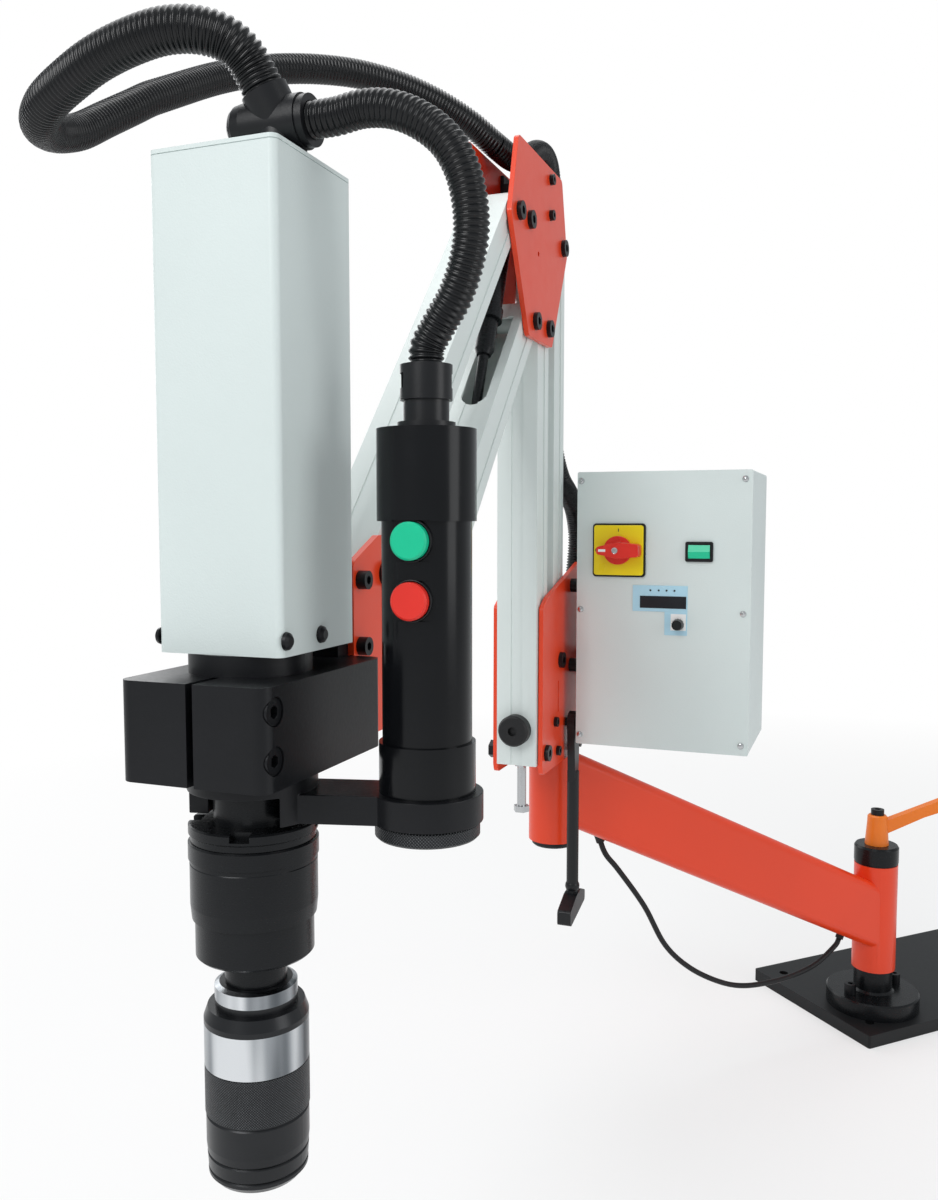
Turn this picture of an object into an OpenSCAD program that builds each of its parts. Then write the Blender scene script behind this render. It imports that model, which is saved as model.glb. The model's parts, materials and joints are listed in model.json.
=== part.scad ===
// Electric arm tapping machine.
// A base plate and column carry a swing arm; a bracket swivels on its free end.
// Two parallel linkages in a row keep the geared head and its tap chuck upright.
// Millimetres, Z up, origin on the column axis at the underside of the base plate.

/* [Base] */
// Length of the base plate
plate_l = 400; // [360:10:500]
// Width of the base plate
plate_w = 240; // [220:10:320]
// Thickness of the base plate
plate_t = 18; // [14:1:26]
// Distance from the column axis to the plate's near end
plate_end = 80; // [75:1:110]
// Distance from the column axis to the plate's front edge
plate_front = 76; // [72:1:110]
// Diameter of the four bench bolt holes
bench_hole_d = 13; // [9:0.5:18]
// Distance of each bench bolt hole from the two edges beside it
bench_inset = 31; // [16:1:31]

/* [Column] */
// Diameter of the column's foot flange
flange_d = 128; // [110:1:140]
// Thickness of the foot flange
flange_t = 23; // [16:1:32]
// Diameter of the column below the swing arm
post_d = 53; // [46:1:58]
// Diameter of the journals that the arm and the bracket turn on
journal_d = 40; // [34:1:44]
// Height of the bare column between flange and swing arm
post_gap = 33; // [20:1:60]
// Pitch circle of the screws that hold the flange
flange_pcd = 85; // [80:1:90]
// Height of the black cap ring above the arm
cap_h = 27; // [18:1:36]
// Diameter of the stud that the clamp lever turns on
stud_d = 16; // [12:1:20]

/* [Clamp lever] */
// Diameter of the lever's hub
hub_d = 31; // [28:1:36]
// Height of the hub
hub_h = 43; // [36:1:52]
// Length of the lever from the hub's axis to its tip
clamp_len = 118; // [90:1:140]

/* [Swing arm] */
// Reach of the swing arm between its two upright tubes
swing_r = 532; // [480:1:600]
// Outer diameter of the upright tubes
tube_d = 60; // [58:1:66]
// Wall of the upright tubes
tube_wall = 3; // [2:0.5:4]
// Height of the column tube
column_tube_h = 154; // [154:1:190]
// Height of the sloping box section, square to its length
arm_h = 86; // [76:1:88]
// Width of the sloping box section
arm_w = 50; // [40:1:54]
// Corner radius of the sloping box section
arm_corner = 12; // [8:1:16]
// Wall of the sloping box section
arm_wall = 4; // [3:0.5:5]
// Height of the section's centre line above the column tube's foot
arm_start = 74; // [68:1:80]
// Rise of the section's centre line from column to bracket
arm_rise = 254; // [200:1:262]
// Height of the bracket's tube
swivel_tube_h = 108; // [106:1:124]

/* [Linkage] */
// Distance between the pivots of the lower arm
lower_len = 461; // [420:1:520]
// Distance between the pivots of the forearm
forearm_len = 459.5; // [420:0.5:520]
// Angle of the forearm below horizontal
forearm_angle = 47.8; // [40:0.1:55]
// Width of all four beams
beam_w = 45; // [40:1:50]
// Depth of the two lower arm beams
lower_t = 40; // [34:1:41]
// Depth of the forearm's upper beam
upper_t = 35; // [30:1:38]
// Depth of the forearm's lower beam
under_t = 38.8; // [34:0.2:39]
// Wall of the hollow beams
beam_wall = 3; // [2:0.5:4]
// Distance between the two pivots of a link, along the arm
link_dx = 54; // [50:1:60]
// Height between the two pivots of a link
link_dz = 97; // [90:1:110]
// Diameter of the pivot pins
pin_d = 12; // [8:1:14]
// Thickness of all the orange plates
sheet_t = 5; // [4:0.5:7]
// Side clearance between a beam and its plates
side_gap = 1; // [0.5:0.1:2]

/* [Head] */
// Distance from the head's upper pivot to the spindle axis
head_reach = 132.5; // [128:0.5:140]
// Width of the clamp block
block_w = 100; // [92:1:110]
// Height of the clamp block
block_h = 60; // [50:1:70]
// Depth of the clamp block in front of the spindle axis
block_front = 65; // [60:1:75]
// Width of the slot that lets the block clamp
block_slot = 4.5; // [3:0.5:6]
// Width of the motor cover
cover_w = 86; // [84:1:96]
// Depth of the motor cover
cover_l = 92; // [90:1:100]
// Height of the motor cover
cover_h = 295; // [260:1:330]
// Sheet thickness of the motor cover
cover_t = 1.5; // [1:0.25:2.5]
// Diameter of the spindle nose
nose_d = 53; // [48:1:56]
// Diameter of the black gearbox flange
gear_flange_d = 76; // [72:1:82]

/* [Chuck] */
// Diameter of the chuck's body
chuck_d = 80; // [76:1:84]
// Length of the chuck's release sleeve
sleeve_h = 49; // [44:1:54]
// Travel of the release sleeve
sleeve_travel = 5; // [3:0.5:6]
// Diameter of the tap adapter
adapter_d = 66; // [60:1:68]
// Diameter of the tap's socket
tap_d = 14; // [8:0.5:20]
// Depth of the tap's socket
tap_depth = 40; // [25:1:60]

/* [Handle] */
// Sideways distance from the spindle axis to the handle's axis
handle_x = 107; // [102:1:115]
// Distance from the spindle axis back to the handle's axis
handle_y = 28; // [20:1:34]
// Diameter of the handle's tube
handle_d = 55; // [50:1:58]
// Diameter of the handle's two collars
handle_collar_d = 60.5; // [58:0.5:64]
// Height of the tube between the collars
handle_tube_h = 134; // [120:1:150]
// Thickness of the arm that holds the handle
handle_arm_t = 18; // [14:1:20]
// Diameter of the two push buttons
button_d = 22.5; // [20:0.5:24]

/* [Control box] */
// Width of the control box
box_w = 194; // [180:1:220]
// Height of the control box
box_h = 312; // [290:1:330]
// Depth of the control box
box_l = 150; // [130:1:170]
// Sheet thickness of the control box
box_t = 2; // [1.5:0.5:3]

/* [Hidden] */

// Colours as photographed
orange = "#E0340F";
lever_orange = "#E8700A";
pale = "#D2DEDC";
black = "#17191C";
steel = "#9EA3A6";
rubber = "#0E0F11";
yellow = "#E3D400";

// Clearances
fit = 0.05;        // radial, for everything that turns or slides
seat = 0.3;        // between faces that pass each other
yaw = 45;          // angle of the linkage to the swing arm

// Heights of the column stack
flange_top = plate_t + flange_t;
tube_z = flange_top + post_gap;
tube_top = tube_z + column_tube_h;
cap_z = tube_top + seat;
hub_z = cap_z + cap_h + fit;
hub_top = hub_z + hub_h;
tube_bore = tube_d - 2 * tube_wall;

// Swing arm's far end
arm_z = tube_z + arm_start;
arm_slope = atan2(arm_rise, swing_r);
swivel_z = arm_z + arm_rise - 71;
swivel_top = swivel_z + swivel_tube_h;

// Bracket, in the plane of the linkage: p = [distance backwards, height]
foot_z = swivel_top + seat;
plate_in = beam_w / 2 + side_gap;
plate_out = plate_in + sheet_t;
P1 = [-126, foot_z + 26];
P2 = P1 + [link_dx, link_dz];
L1 = P1 + [0, lower_len];
L2 = P2 + [0, lower_len];
beam_foot = 12;
beam_tail = 14;

// Elbow
pivot_pair = 47;
F2 = L1 - [pivot_pair, 0];
F1 = F2 + [-link_dx, link_dz];
elbow_mid = (L1[0] + F2[0]) / 2;
spring_pin = [F1[0] + 34, F1[1]];

// Forearm and head
fore = [-cos(forearm_angle), -sin(forearm_angle)];
fore_turn = 90 + forearm_angle;
G1 = F1 + forearm_len * fore;
G2 = F2 + forearm_len * fore;
spindle = G1[0] - head_reach;
block_z = G2[1] - 17;

// Head, measured from the spindle axis at the clamp block's underside
nose_low = -13;
gear_flange_h = 13;
cover_z = block_h + gear_flange_h;
cover_mid = 11;

// Chuck, measured downwards from the spindle nose
chuck_top = nose_low - 21;
sleeve_top = chuck_top - 11;
skirt = 12;        // how far the sleeve's lip reaches over the lower body
adapter_top = sleeve_top - sleeve_h - 45;
adapter_low = adapter_top - 124;

// Gas spring in the forearm
spring_foot = 160;
spring_line = F2 + spring_foot * fore - spring_pin;
spring_len = norm(spring_line);
spring_turn = atan2(-spring_line[0], spring_line[1]);
spring_d = 19;
spring_reach = 114;

// Control box, front left lower corner
box_x = 44;
box_y = -60;
box_z = foot_z + 25;
panel_t = 3;
fitting_at = [10, 42];
fitting_top = box_z + 115;
fitting_d = 24;

// Handle, measured like the head
arm_low = nose_low - handle_arm_t;
handle_foot = nose_low;
collar_low_h = 31;
collar_top_h = 55;
handle_top = handle_foot + collar_low_h + handle_tube_h + collar_top_h;

// ---------------------------------------------------------------- helpers

// The plane of the linkage: x across, y backwards from the swivel axis
module linkage() {
    translate([-swing_r, 0, 0])
        rotate([0, 0, -yaw])
            children();
}

// The head's own frame: spindle axis, underside of the clamp block
module head() {
    linkage()
        translate([0, spindle, block_z])
            children();
}

// The handle's own frame: its axis, same height as the head's
module grip() {
    head()
        translate([handle_x, handle_y, 0])
            children();
}

// The control box's own frame: lower left front corner
module box_frame() {
    linkage()
        translate([box_x, box_y, box_z])
            children();
}

// A profile drawn in (y, z), from x = a to x = b
module slab(a, b) {
    translate([a, 0, 0])
        rotate([90, 0, 90])
            linear_extrude(b - a)
                children();
}

// A round bar along x from a to b through p = [y, z]
module bar(p, d, a, b, n = 32) {
    translate([a, p[0], p[1]])
        rotate([0, 90, 0])
            cylinder(d = d, h = b - a, $fn = n);
}

// A ring about z
module ring(d, bore, z0, z1, n = 64) {
    translate([0, 0, z0])
        difference() {
            cylinder(d = d, h = z1 - z0, $fn = n);
            translate([0, 0, -1])
                cylinder(d = bore, h = z1 - z0 + 2, $fn = n);
        }
}

// The rounded corner at b of the path a, b, c
function corner(a, b, c, r, n) =
    let (
        u = (a - b) / norm(a - b),
        v = (c - b) / norm(c - b),
        half = acos(u * v) / 2,
        m = (u + v) / norm(u + v),
        o = b + m * r / sin(half),
        p = b + u * r / tan(half) - o,
        q = b + v * r / tan(half) - o,
        a0 = atan2(p[1], p[0]),
        d0 = atan2(q[1], q[0]) - a0,
        d = d0 > 180 ? d0 - 360 : d0 < -180 ? d0 + 360 : d0
    )
    [for (i = [0:n]) o + r * [cos(a0 + d * i / n), sin(a0 + d * i / n)]];

// A closed outline with every corner rounded
function rounded(pts, r, n = 4) =
    let (k = len(pts))
    [for (i = [0:k - 1]) each corner(pts[(i + k - 1) % k], pts[i], pts[(i + 1) % k], r, n)];

// A rectangle centred on the origin, with round corners
module round_rect(w, h, r) {
    square([w - 2 * r, h], center = true);
    square([w, h - 2 * r], center = true);
    for (x = [-1, 1], y = [-1, 1])
        translate([x * (w / 2 - r), y * (h / 2 - r)])
            circle(r = r, $fn = 32);
}

// A socket head screw along +x from the seat at the origin: head, then its hex
module socket_head(d, h) {
    difference() {
        rotate([0, 90, 0])
            cylinder(d = d, h = h, $fn = 32);
        translate([h / 2, 0, 0])
            rotate([0, 90, 0])
                cylinder(d = d / 2, h = h, $fn = 6);
    }
}

// ---------------------------------------------------------------- base

module base_plate() {
    color(black)
        difference() {
            translate([plate_l / 2 - plate_end, plate_w / 2 - plate_front, 0])
                linear_extrude(plate_t)
                    round_rect(plate_l, plate_w, 3);
            for (x = [bench_inset - plate_end, plate_l - plate_end - bench_inset])
                for (y = [bench_inset - plate_front, plate_w - plate_front - bench_inset])
                    translate([x, y, -1])
                        cylinder(d = bench_hole_d, h = plate_t + 2, $fn = 48);
            for (x = [-1, 1])
                translate([x * flange_pcd / 2, 0, 4])
                    cylinder(d = 10 + 2 * fit, h = plate_t, $fn = 32);
        }
}

module column() {
    color(black)
        difference() {
            rotate_extrude($fn = 96)
                polygon([
                    [0, plate_t], [flange_d / 2, plate_t], [flange_d / 2, flange_top - 2],
                    [flange_d / 2 - 2, flange_top], [post_d / 2 + 3, flange_top],
                    [post_d / 2, flange_top + 3], [post_d / 2, tube_z - seat],
                    [journal_d / 2, tube_z - seat], [journal_d / 2, cap_z],
                    [stud_d / 2, cap_z], [stud_d / 2, hub_top - 8], [0, hub_top - 8]
                ]);
            for (x = [-1, 1])
                translate([x * flange_pcd / 2, 0, plate_t - 1])
                    cylinder(d = 11, h = flange_t + 2, $fn = 32);
        }
}

// Two tall socket screws through the flange
module column_screws() {
    color(black)
        for (x = [-1, 1])
            translate([x * flange_pcd / 2, 0, 0]) {
                translate([0, 0, 6])
                    cylinder(d = 10, h = flange_top - 6 + 1, $fn = 32);
                translate([0, 0, flange_top])
                    rotate([0, -90, 0])
                        socket_head(16, 14);
            }
}

// Thrust ring between the arm's tube and the clamp lever
module column_cap() {
    color(black)
        translate([0, 0, cap_z])
            rotate_extrude($fn = 80)
                polygon([
                    [stud_d / 2 + fit, 0], [tube_d / 2 - 1, 0], [tube_d / 2 - 1, 3],
                    [tube_d / 2 + 0.5, 3], [tube_d / 2 + 0.5, cap_h - 3],
                    [tube_d / 2 - 1.5, cap_h], [stud_d / 2 + fit, cap_h]
                ]);
}

// Cranked clamp lever: hub on the stud, tapering arm that rises to its tip
module clamp_lever() {
    rise = 22;
    color(lever_orange)
        difference() {
            union() {
                translate([0, 0, hub_z])
                    rotate_extrude($fn = 64)
                        polygon([
                            [0, 0], [hub_d / 2 + 1, 0], [hub_d / 2 - 1.5, hub_h * 0.7],
                            [hub_d / 2 - 2, hub_h - 2], [hub_d / 2 - 4, hub_h], [0, hub_h]
                        ]);
                translate([0, 0, hub_top - 18])
                    rotate([90, 0, -24])
                        linear_extrude(13, center = true)
                            polygon(rounded([
                                [4, -12], [clamp_len * 0.55, clamp_len * 0.55 * tan(rise) - 11],
                                [clamp_len, clamp_len * tan(rise) - 15],
                                [clamp_len, clamp_len * tan(rise) + 4],
                                [hub_d / 2, 12], [4, 12]
                            ], 3));
            }
            translate([0, 0, hub_z - 1])
                cylinder(d = stud_d + 2 * fit, h = hub_h - 6, $fn = 48);
            translate([0, 0, hub_top - 9])
                cylinder(d = 8 + 2 * fit, h = 20, $fn = 32);
        }
}

module clamp_lever_screw() {
    color(black) {
        translate([0, 0, hub_top])
            rotate([0, -90, 0])
                socket_head(18, 8);
        translate([0, 0, hub_top - 6])
            cylinder(d = 8, h = 7, $fn = 32);
    }
}

// ---------------------------------------------------------------- swing arm

// Upright tubes at both ends, joined by the sloping box section
module swing_arm() {
    span = norm([swing_r, arm_rise]);
    color(orange)
        difference() {
            union() {
                translate([0, 0, tube_z])
                    cylinder(d = tube_d, h = column_tube_h, $fn = 96);
                translate([-swing_r, 0, swivel_z])
                    cylinder(d = tube_d, h = swivel_tube_h, $fn = 96);
                intersection() {
                    arm_solid(arm_w, arm_h, arm_corner, span);
                    translate([-swing_r, -60, tube_z])
                        cube([swing_r, 120, swivel_top - tube_z - 2]);
                }
            }
            translate([0, 0, tube_z - 1])
                cylinder(d = tube_bore, h = column_tube_h + 2, $fn = 96);
            translate([-swing_r, 0, swivel_z - 1])
                cylinder(d = tube_bore, h = swivel_tube_h + 2, $fn = 96);
            arm_hollow(span);
            for (h = cable_holes)
                grommet_at(h)
                    translate([0, 0, -6])
                        cylinder(d = 11, h = 30, $fn = 32);
        }
}

// Box section laid from the column tube to the bracket tube
module arm_solid(w, h, r, span) {
    translate([0, 0, arm_z])
        rotate([0, -90 + arm_slope, 0])
            linear_extrude(span)
                round_rect(h, w, r);
}

// Its hollow, kept clear of both tubes
module arm_hollow(span) {
    intersection() {
        arm_solid(arm_w - 2 * arm_wall, arm_h - 2 * arm_wall, arm_corner - arm_wall, span);
        translate([-swing_r + tube_d / 2, -60, 0])
            cube([swing_r - tube_d, 120, 1000]);
    }
}

// Underside of the arm at distance x from the column
function arm_under(x) = arm_z + arm_rise * x / swing_r - arm_h / 2 / cos(arm_slope);

// Grommets: distance from the column, and lean from upright
cable_holes = [[swing_r - 66, -20], [64, arm_slope]];
grommet_h = 6;

module grommet_at(h) {
    translate([-h[0], 0, arm_under(h[0])])
        rotate([0, h[1], 0])
            children();
}

// The point at distance d below a grommet's hole
function below(h, d) = [-h[0] - d * sin(h[1]), 0, arm_under(h[0]) - d * cos(h[1])];

// Flanged bushes at both ends of both tubes
module pivot_bushes() {
    color(steel) {
        ring(tube_bore - 2 * fit, journal_d + 2 * fit, tube_z + 1, tube_z + 30);
        ring(tube_bore - 2 * fit, journal_d + 2 * fit, tube_top - 30, tube_top - 1);
        translate([-swing_r, 0, 0]) {
            ring(tube_bore - 2 * fit, journal_d + 2 * fit, swivel_z + 10, swivel_z + 34);
            ring(tube_bore - 2 * fit, journal_d + 2 * fit, swivel_top - 30, swivel_top - 1);
        }
    }
}

// End cap under the bracket's tube and the two cable grommets
module arm_caps() {
    color(rubber) {
        translate([-swing_r, 0, swivel_z])
            rotate_extrude($fn = 64)
                polygon([
                    [0, -7], [24, -7], [26, -5], [26, -fit], [tube_bore / 2 - fit, -fit],
                    [tube_bore / 2 - fit, 4], [0, 4]
                ]);
        for (h = cable_holes)
            grommet_at(h)
                rotate_extrude($fn = 32)
                    polygon([[3.5, -grommet_h], [5.45, -grommet_h], [5.45, 8], [3.5, 8]]);
    }
}

// ---------------------------------------------------------------- bracket

// Journal under the bracket with its retaining washer
module swivel_spindle() {
    color(steel)
        linkage() {
            translate([0, 0, swivel_z + 9.5])
                cylinder(d = journal_d, h = foot_z - swivel_z - 9.5, $fn = 80);
            translate([0, 0, swivel_z + 5])
                cylinder(d = tube_bore - 4, h = 4.7, $fn = 64);
        }
}

function bracket_outline() = rounded([
    [12, foot_z + 3.5], [12, P2[1] + 111], [P2[0] - 50, P2[1] + 75],
    [P1[0] - 14, P1[1] + 162], [P1[0] - 15, P1[1] - 13], [P1[0] - 12, foot_z + 3.5]
], 5);

module bracket_plate(a) {
    difference() {
        slab(a, a + sheet_t)
            polygon(bracket_outline());
        for (p = [P1, P2])
            bar(p, pin_d + 2 * fit, a - 1, a + sheet_t + 1, 48);
        for (p = box_fixings)
            bar(p, 8 + 2 * fit, a - 1, a + sheet_t + 1);
        for (p = concat(cross_pins, base_screws))
            bar(p, 6 + 2 * fit, a - 1, a + sheet_t + 1);
        bar(lever_eye, 10 + 2 * fit, a - 1, a + sheet_t + 1);
        slab(a - 1, a + sheet_t + 1)
            translate([-81, foot_z + 64])
                square([2.5, 36]);
    }
}

lever_eye = [-46, foot_z + 47];
box_fixings = [[-26, foot_z + 206], [-30, foot_z + 112]];

module bracket_plate_left() {
    color(orange)
        linkage()
            bracket_plate(-plate_out);
}

module bracket_plate_right() {
    color(orange)
        linkage()
            bracket_plate(plate_in);
}

// Block between the plates over the swivel
module bracket_base() {
    color(orange)
        linkage()
            difference() {
                translate([-plate_in, -32, foot_z])
                    cube([2 * plate_in, 44, 24]);
                for (p = base_screws)
                    bar(p, 6 + 2 * fit, -plate_out, plate_out);
            }
}

base_screws = [[-22, foot_z + 12], [4, foot_z + 12]];
cross_pins = [[P1[0] + 33, P1[1] + 29], [P1[0] + 43, P1[1] - 6]];

// Pins of the lower arm, cross pins, base screws, eye bolt
module bracket_pins() {
    color(black)
        linkage() {
            for (p = [P1, P2])
                pivot_pin(p);
            for (p = cross_pins) {
                bar(p, 12, -plate_in + seat, plate_in - seat);
                bar(p, 6, -plate_out - 1, plate_out + 1);
                for (a = [0, 1])
                    mirror([a, 0, 0])
                        translate([plate_out, p[0], p[1]])
                            socket_head(11, 4);
            }
            for (p = base_screws) {
                bar(p, 6, -plate_out - 1, plate_out + 1);
                for (a = [0, 1])
                    mirror([a, 0, 0])
                        translate([plate_out, p[0], p[1]])
                            socket_head(10, 5);
            }
            bar(lever_eye, 10, -plate_out - 4, plate_out + 14);
            bar(lever_eye, 17, -plate_out - 7, -plate_out, 6);
            bar(lever_eye, 15, plate_out + 13.6, plate_out + 15.2);
        }
}

// Adjusting bolt screwed up into the front beam's foot, its head down
module stop_bolt() {
    color(steel)
        linkage()
            translate([0, P1[0], P1[1] - bolt_top]) {
                translate([0, 0, -bolt_len])
                    cylinder(d = bolt_d, h = bolt_len, $fn = 32);
                translate([0, 0, -bolt_len - 6])
                    cylinder(d = 18, h = 6.5, $fn = 6);
                translate([0, 0, -beam_foot - 4 + bolt_top])
                    cylinder(d = 18, h = 4, $fn = 6);
            }
}

bolt_d = 10;
bolt_len = 54;
bolt_top = 8;

// Spacers and screws between the right plate and the control box
module box_spacers() {
    color(black)
        linkage()
            for (p = box_fixings) {
                bar(p, 16, plate_out, box_x);
                bar(p, 8, -plate_out - 4, plate_out + 1);
                bar(p, 14, -plate_out - 6, -plate_out, 6);
            }
}

// ---------------------------------------------------------------- control box

// Folded steel box, open at the front
module box_shell() {
    color(pale)
        box_frame()
            difference() {
                translate([box_w / 2, box_l, box_h / 2])
                    rotate([90, 0, 0])
                        linear_extrude(box_l - box_t)
                            round_rect(box_w, box_h, 3);
                translate([box_t, 0, box_t])
                    cube([box_w - 2 * box_t, box_l - box_t, box_h - 2 * box_t]);
                bar([fitting_at[1] - box_y, fitting_top - 31 - box_z], fitting_d + 2 * fit, -9, 9, 48);
            }
}

cover_marks = [for (z = [11, 156, box_h - 10]) each [[4.5, z], [box_w - 8, z]]];
switch_at = [49, 224];
rocker_at = [138, 223];
display_at = [65, 128];
speed_at = [116, 142];

// Front cover with its cut-outs
module box_cover() {
    color(pale)
        box_frame()
            difference() {
                translate([box_w / 2, box_t, box_h / 2])
                    rotate([90, 0, 0])
                        linear_extrude(box_t)
                            round_rect(box_w, box_h, 2);
                translate([switch_at[0], -1, switch_at[1]])
                    rotate([-90, 0, 0])
                        cylinder(d = 22, h = box_t + 2, $fn = 48);
                translate([rocker_at[0] - 13, -1, rocker_at[1] - 9])
                    cube([26, box_t + 2, 18]);
                translate([speed_at[0], -1, speed_at[1]])
                    rotate([-90, 0, 0])
                        cylinder(d = 8, h = box_t + 2, $fn = 32);
                for (m = cover_marks)
                    translate([m[0], -1, m[1]])
                        rotate([-90, 0, 0])
                            cylinder(d = 3.6, h = box_t + 2, $fn = 24);
            }
}

// Cross head screws of the cover, domed
module box_screws() {
    color(steel)
        box_frame()
            for (m = cover_marks)
                translate([m[0], 0, m[1]])
                    rotate([90, 0, 0])
                        rotate_extrude($fn = 24)
                            polygon([[0, -7], [1.7, -7], [1.7, 0], [3.6, 0], [3, 1.4], [1.6, 2.2], [0, 2.4]]);
}

// L shaped membrane panel of the speed display
module display_panel() {
    color("#AFDCEB")
        box_frame()
            difference() {
                rotate([90, 0, 0])
                    linear_extrude(0.8)
                        polygon([
                            [display_at[0], 156], [display_at[0] + 36, 156],
                            [display_at[0] + 36, 130], [display_at[0] + 61, 130],
                            [display_at[0] + 61, 185], [display_at[0], 185]
                        ]);
                translate([speed_at[0], -2, speed_at[1]])
                    rotate([-90, 0, 0])
                        cylinder(d = 8, h = 4, $fn = 32);
            }
}

// Yellow plate of the main switch
module switch_plate() {
    color(yellow)
        box_frame()
            translate([switch_at[0], 0, switch_at[1]])
                rotate([90, 0, 0])
                    difference() {
                        translate([0, 0, 2.5])
                            linear_extrude(panel_t)
                                round_rect(56, 56, 3);
                        cylinder(d = 14 + 2 * fit, h = 20, $fn = 48);
                    }
}

// Black rim under the yellow plate, rocker frame and speed knob bush
module panel_frames() {
    color(black)
        box_frame() {
            translate([switch_at[0], 0, switch_at[1]])
                rotate([90, 0, 0])
                    difference() {
                        union() {
                            linear_extrude(2.5)
                                round_rect(60, 60, 4);
                            translate([0, 0, -18])
                                cylinder(d = 21.5, h = 19, $fn = 48);
                        }
                        translate([0, 0, -10])
                            cylinder(d = 14 + 2 * fit, h = 20, $fn = 48);
                    }
            translate([rocker_at[0], 0, rocker_at[1]])
                rotate([90, 0, 0])
                    difference() {
                        union() {
                            linear_extrude(2.5)
                                round_rect(30, 22, 2);
                            translate([0, 0, -14])
                                linear_extrude(15)
                                    square([25.5, 17.5], center = true);
                        }
                        translate([0, 0, -10])
                            linear_extrude(20)
                                square([24, 16], center = true);
                    }
        }
}

// Elbow fitting on the box's left wall that takes the hose
module box_hose_fitting() {
    low = fitting_top - 31;
    color(rubber)
        linkage()
            difference() {
                union() {
                    translate([fitting_at[0], fitting_at[1], low])
                        cylinder(d = 28, h = 31, $fn = 48);
                    translate([fitting_at[0], fitting_at[1], low])
                        sphere(d = 28, $fn = 48);
                    bar([fitting_at[1], low], 28, fitting_at[0], box_x, 48);
                    bar([fitting_at[1], low], 36, box_x - 7, box_x, 6);
                    bar([fitting_at[1], low], fitting_d, box_x - 1, box_x + box_t + 4, 48);
                }
                translate([fitting_at[0], fitting_at[1], low])
                    cylinder(d = 19, h = 40, $fn = 48);
                bar([fitting_at[1], low], 19, fitting_at[0], box_x + 20, 48);
            }
}

// Rotary handle of the main switch
module main_switch_knob() {
    color("#D8301C")
        box_frame()
            translate([switch_at[0], 0, switch_at[1]])
                rotate([90, 0, 0]) {
                    translate([0, 0, -8])
                        cylinder(d = 14, h = 14, $fn = 48);
                    translate([0, 0, 5.8])
                        cylinder(d = 32, h = 5, $fn = 64);
                    translate([0, 0, 5.8])
                        linear_extrude(18)
                            polygon(rounded([[-21, -4], [2, -9], [26, -7], [26, 7], [2, 9], [-21, 4]], 3));
                }
}

// Green rocker switch
module power_rocker() {
    color("#14B88C")
        box_frame()
            translate([rocker_at[0], 0, rocker_at[1]])
                rotate([90, 0, 0])
                    rotate([0, 90, 0])
                        linear_extrude(23.4, center = true)
                            polygon([[-2, -7.4], [-5, 0], [-2, 7.4], [6, 5.4], [6, -5.4]]);
}

module speed_knob() {
    color(black)
        box_frame()
            translate([speed_at[0], 0, speed_at[1]])
                rotate([90, 0, 0]) {
                    translate([0, 0, -10])
                        cylinder(d = 6, h = 12, $fn = 32);
                    translate([0, 0, 1.2])
                        cylinder(d1 = 13, d2 = 11, h = 9, $fn = 40);
                }
}

// Hanging prop lever: flat eye, round rod, knuckle and foot
module parking_lever() {
    mid = plate_out + 9;
    foot = -218;
    color(rubber)
        linkage()
            translate([0, lever_eye[0], lever_eye[1]]) {
                difference() {
                    union() {
                        bar([0, 0], 26, mid - 4.6, mid + 4.4, 48);
                        slab(mid - 4.6, mid + 4.4)
                            polygon([[-12, -4], [12, -4], [7, -70], [-7, -70]]);
                    }
                    bar([0, 0], 10 + 2 * fit, mid - 20, mid + 20, 48);
                }
                translate([mid, 0, foot + 10])
                    cylinder(d = 14, h = -foot - 68, $fn = 32);
                translate([mid, 0, foot + 22])
                    sphere(d = 17, $fn = 24);
                translate([0, 0, foot])
                    slab(mid - 8, mid + 8)
                        polygon(rounded([[-36, -16], [28, -3], [28, 9], [10, 16], [-8, 14], [-36, 2]], 4));
            }
}

// ---------------------------------------------------------------- beams

// A hollow grooved beam, pivots at the origin and (0, len); lo and hi run past them
module beam(len, t, lo, hi, round0, round1, off) {
    groove = 13;
    difference() {
        slab(-beam_w / 2, beam_w / 2)
            beam_side(len, t, lo, hi, round0, round1);
        translate([0, 0, -60])
            linear_extrude(len + 120)
                square([beam_w - 2 * beam_wall, t - 2 * beam_wall], center = true);
        for (x = [-1, 1])
            translate([x * beam_w / 2, 0, len / 2])
                cube([2.4, groove, len + 120], center = true);
        for (y = [-1, 1])
            translate([0, y * t / 2, len / 2])
                cube([groove, 2.4, len + 120], center = true);
    }
    for (z = [0, len])
        difference() {
            bar([-off, z], pin_d + 9, -beam_w / 2 + 1.3, beam_w / 2 - 1.3, 48);
            bar([-off, z], pin_d + 2 * fit, -beam_w, beam_w, 48);
        }
}

module beam_side(len, t, lo, hi, round0, round1) {
    a = round0 ? 0 : -lo;
    b = round1 ? len : len + hi;
    translate([-t / 2, a])
        square([t, b - a]);
    if (round0)
        circle(d = t, $fn = 64);
    if (round1)
        translate([0, len])
            circle(d = t, $fn = 64);
}

// A beam set back from its pins by off
module drilled_beam(len, t, lo, hi, round0 = false, round1 = false, off = 0) {
    difference() {
        translate([0, off, 0])
            beam(len, t, lo, hi, round0, round1, off);
        for (z = [0, len])
            bar([0, z], pin_d + 2 * fit, -beam_w, beam_w, 48);
    }
}

module lower_front_beam() {
    color(pale)
        linkage()
            translate([0, P1[0], P1[1]])
                difference() {
                    union() {
                        drilled_beam(lower_len, lower_t - 0.6, beam_foot, beam_tail, false, true);
                        translate([-beam_w / 2 + 1.5, 1.5 - lower_t / 2, -beam_foot])
                            cube([beam_w - 3, lower_t - 3, beam_foot]);
                    }
                    bar([0, 0], pin_d + 2 * fit, -beam_w, beam_w, 48);
                    translate([0, 0, -30])
                        cylinder(d = bolt_d + 2 * fit, h = 30 - bolt_top + fit, $fn = 32);
                }
}

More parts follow.
